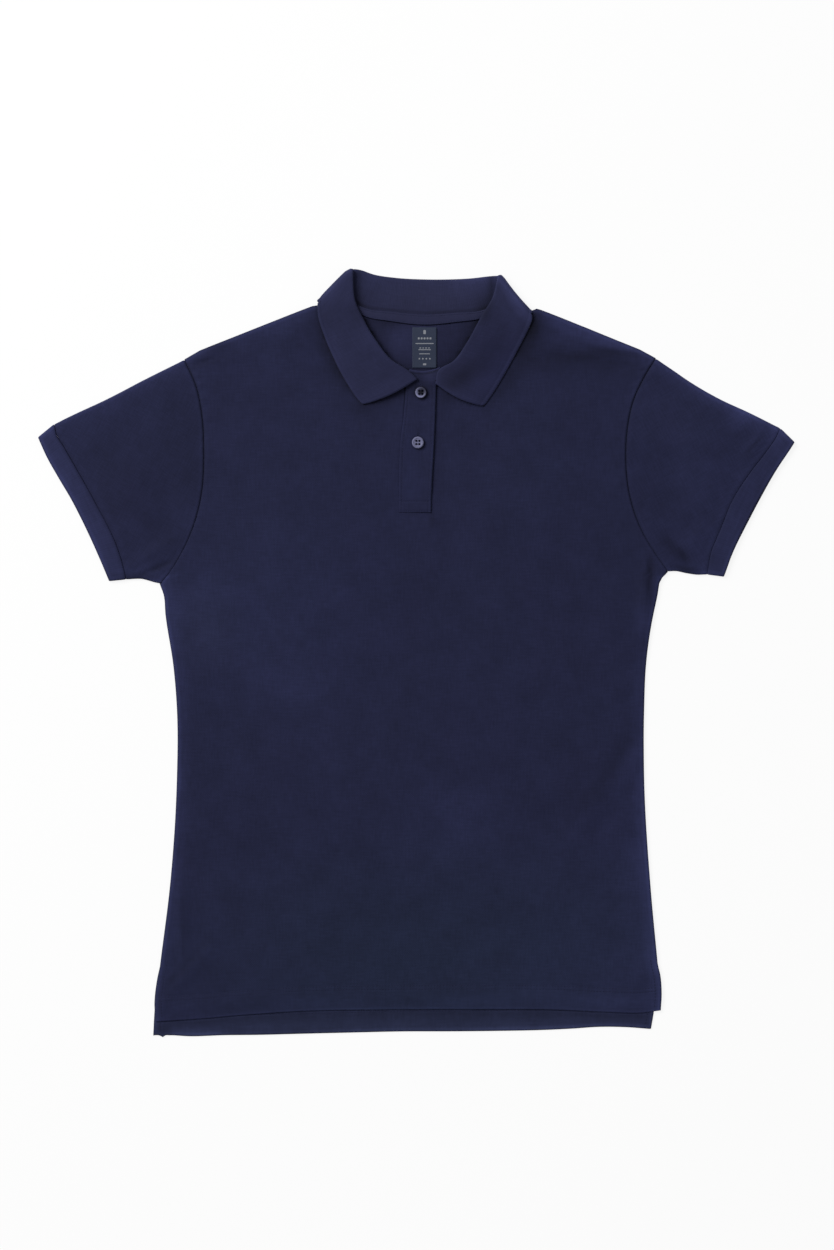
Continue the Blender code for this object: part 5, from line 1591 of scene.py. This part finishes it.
bars, tacks = [], []  # each buttonhole has two raised bars of close thread, and bar tacks at their ends
for button in BUTTONS:
    hole_ends = (button.hole_top, button.hole_top - BUTTONHOLE_LENGTH)
    for dx in (-BUTTONHOLE_BAR_X, BUTTONHOLE_BAR_X):
        bars.append(on_band([(button.x + dx, y) for y in np.linspace(*hole_ends, 40)]))
    for y in hole_ends:
        across = np.linspace(-BUTTONHOLE_TACK_X, BUTTONHOLE_TACK_X, 6)
        tacks.append(on_band([(button.x + dx, y) for dx in across]))
tagged(stitch_row("buttonhole_bars", bars, pitch=0.42, length=0.5, width=0.95), "pique_knit")
tagged(stitch_row("buttonhole_tacks", tacks, pitch=0.5, length=0.6, width=0.9), "pique_knit")

# ------------------------------------------------------------
# Buttons.


# Painted shade on the buttons: in the holes, and on the upper button's dish and far rim side.
HOLE_TONE, RIM_SIDE_TONE, RIM_SIDE_FROM = 0.08, 0.12, 0.88
DISH_SHADE_FROM, DISH_SHADE_FADE, DARKEST_DISH = 0.38, 0.36, 0.07


def button_tones(button, x, y, z):
    """Painted light and shade: the upper button's dish and far side are painted with the collar's shade,
    lighter towards the lower left, and the lower one's are left lit. The holes of both are painted dark with
    shade."""
    reach = np.hypot(x, y) / (BUTTON_DIAMETER / 2)
    tones = np.ones((len(x), 3))
    to_hole = np.hypot(np.abs(x) - BUTTON_HOLE_PITCH / 2, np.abs(y) - BUTTON_HOLE_PITCH / 2)
    tones[(to_hole < BUTTON_HOLE / 2 + 0.05) & (z < BUTTON_HEIGHT - BUTTON_DISH - 0.1)] = HOLE_TONE
    if button is BUTTONS[0]:
        shade = 0.88 - 0.6 * (x + y) / np.maximum(np.hypot(x, y), 0.1) / math.sqrt(2)
        shade = shade * soft_step((reach - DISH_SHADE_FROM) / DISH_SHADE_FADE)
        tones *= np.maximum(shade, DARKEST_DISH)[:, None]
        tones *= np.where(reach > RIM_SIDE_FROM, RIM_SIDE_TONE, 1.0)[:, None]
    return tones


def turned_profile(radius, top, inner):
    """Radius and height, from the dish's middle over the rim, which starts at inner, to the underside."""
    dish = top - BUTTON_DISH
    return [(0.0, dish - 0.05), (1.4, dish - 0.03), (inner - 0.7, dish), (inner - 0.2, top - 0.36),
            (inner + 0.15, top - 0.08), (inner + 0.5, top), (radius - 0.75, top - 0.02),
            (radius - 0.35, top - 0.2), (radius - 0.08, top - 0.6), (radius, top - 1.0),
            (radius - 0.1, top - 1.35), (radius - 0.5, 0.35), (radius - 1.4, 0.0), (0.0, 0.0)]


def turned_disc(profile):
    """The points and faces of a closed turned form."""
    points, faces = [(0.0, 0.0, profile[0][1])], []
    for r, z in profile[1:-1]:
        for k in range(BUTTON_STEPS):
            turn = 2 * math.pi * k / BUTTON_STEPS
            points.append((r * math.cos(turn), r * math.sin(turn), z))
    points.append((0.0, 0.0, profile[-1][1]))
    rings = len(profile) - 2
    for k in range(BUTTON_STEPS):
        n = (k + 1) % BUTTON_STEPS
        faces.append((0, 1 + k, 1 + n))
        for a in range(1, 1 + (rings - 1) * BUTTON_STEPS, BUTTON_STEPS):
            b = a + BUTTON_STEPS
            faces.append((a + k, b + k, b + n, a + n))
        last = 1 + (rings - 1) * BUTTON_STEPS
        faces.append((last + k, len(points) - 1, last + n))
    return np.array(points), faces


def hole_pins(place):
    """What cuts the four holes."""
    mesh = bmesh.new()
    half = BUTTON_HOLE_PITCH / 2
    for dx in (-half, half):
        for dy in (-half, half):
            pin = bmesh.ops.create_cone(mesh, cap_ends=True, segments=24, radius1=BUTTON_HOLE / 2 * MM,
                                        radius2=BUTTON_HOLE / 2 * MM, depth=3 * BUTTON_HEIGHT * MM)
            middle = place + (dx, dy, BUTTON_HEIGHT / 2) + SHIFT
            bmesh.ops.translate(mesh, verts=pin["verts"], vec=tuple(middle * MM))
    data = bpy.data.meshes.new("pins")
    mesh.to_mesh(data)
    mesh.free()
    return linked("pins", data)


def button_body(button, base):
    """A turned disc with a rounded rim, a dish and four holes."""
    radius = BUTTON_DIAMETER / 2
    points, faces = turned_disc(turned_profile(radius, BUTTON_HEIGHT, radius - BUTTON_RIM))
    place = np.array([button.x, button.y, base])
    piece = object_from(f"{button.name}_resin", points + place, faces, RESIN)
    cut_out(piece, hole_pins(place))
    points = np.array([corner.co for corner in piece.data.vertices]) / MM - SHIFT - place
    rgba = np.ones((len(points), 4), np.float32)
    rgba[:, :3] = button_tones(button, *points.T)
    piece.data.color_attributes["Tone"].data.foreach_set("color", rgba.ravel())
    piece.modifiers.new("Smooth", "WEIGHTED_NORMAL").keep_sharp = True
    return piece


def button_thread(button, base):
    """Two bars of thread between the holes, each of two strands, which go down into the holes."""
    half, top = BUTTON_HOLE_PITCH / 2, base + BUTTON_HEIGHT - BUTTON_DISH
    x = button.x + np.linspace(-half - 0.1, half + 0.1, 11)
    arch = top + (0.3 * np.sin(np.linspace(0, math.pi, 11)) ** 0.5 - 0.1)
    strands = []
    for dy in (-half, half):
        for shift in (-STRAND_ASIDE, STRAND_ASIDE):
            line = np.stack([x, 0 * x + (button.y + dy + shift), arch], axis=1)
            down = [line[0] + (0.05, 0, -STRAND_DROP)], [line[-1] + (-0.05, 0, -STRAND_DROP)]
            strands.append(np.concatenate([down[0], line, down[1]]))
    return tubes(f"{button.name}_thread", strands, STRAND_RADIUS, BUTTON_THREAD)


def tubes(name, lines, radius, finish):
    """A round strand along each line."""
    points, faces = [], []
    for line in lines:
        faces += tube_faces(len(points), len(line), STRAND_SIDES)
        run = np.gradient(line, axis=0)
        run /= np.linalg.norm(run, axis=1)[:, None]
        for place, way in zip(line, run):
            aside = unit(np.cross(way, (0.013, 1.0, 0.021)))  # close to Y, and no strand runs along Y
            other = np.cross(way, aside)
            for k in range(STRAND_SIDES):
                turn = 2 * math.pi * k / STRAND_SIDES
                points.append(place + radius * (math.cos(turn) * aside + math.sin(turn) * other))
    return object_from(name, np.array(points), faces, finish)


for button in BUTTONS:
    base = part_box(button.name)[0][2] / MM - 0.05
    tagged(button_body(button, base), "button", button.name)
    tagged(button_thread(button, base), "button")

# ------------------------------------------------------------
# Floor, light and camera.

FLOOR_HALF_M, FLOOR_DROP_M, FLOOR_GREY, FLOOR_GLOW = 4.0, 0.00002, 0.13, 0.862
SKY_STRENGTH = 0.32
VIEW_CENTRE, VIEW_HEIGHT = (0.6, 23.4), 1075.0
CAMERA_HEIGHT_M, SENSOR_MM = 3.2, 36.0


def floor():
    """A white floor, evenly lit by itself and shaded by what lies on it."""
    mesh = bpy.data.meshes.new("floor")
    corners = ((-1, -1), (1, -1), (1, 1), (-1, 1))
    points = [(FLOOR_HALF_M * a, FLOOR_HALF_M * b, -FLOOR_DROP_M) for a, b in corners]
    mesh.from_pydata(points, [], [(0, 1, 2, 3)])
    finish = plain("floor_white", (FLOOR_GREY,) * 3, 0.9, 0.02, mottle=0.004, scale=3.0)
    shader = finish.node_tree.nodes["Principled BSDF"]
    shader.inputs["Emission Color"].default_value = (1, 1, 1, 1)
    shader.inputs["Emission Strength"].default_value = FLOOR_GLOW
    mesh.materials.append(finish)
    piece = linked("floor", mesh)


def area_light(name, place, size, power):
    """A round soft light, turned to the shirt's middle."""
    data = bpy.data.lights.new(name, "AREA")
    data.shape, data.size, data.energy = "DISK", size, power
    lamp = linked(name, data)
    lamp.location = place
    lamp.rotation_euler = (-Vector(place)).to_track_quat("-Z", "Y").to_euler()


floor()
area_light("key_softbox", (-2.25, 1.75, 2.3), size=2.2, power=126)
area_light("fill_softbox", (1.9, -0.6, 2.2), size=2.2, power=6)
world = bpy.data.worlds.new("studio")
world.use_nodes = True
world.node_tree.nodes["Background"].inputs["Color"].default_value = (1, 1, 1, 1)
world.node_tree.nodes["Background"].inputs["Strength"].default_value = SKY_STRENGTH
bpy.context.scene.world = world
bpy.context.scene.view_settings.view_transform = "Standard"

camera_data = bpy.data.cameras.new("camera")
camera_data.sensor_width = SENSOR_MM
camera_data.lens = SENSOR_MM * CAMERA_HEIGHT_M / (VIEW_HEIGHT * MM)
camera_data.clip_end = 50
camera = linked("camera", camera_data)
camera.location = (VIEW_CENTRE[0] * MM, VIEW_CENTRE[1] * MM, CAMERA_HEIGHT_M)
bpy.context.scene.camera = camera

bpy.context.view_layer.update()
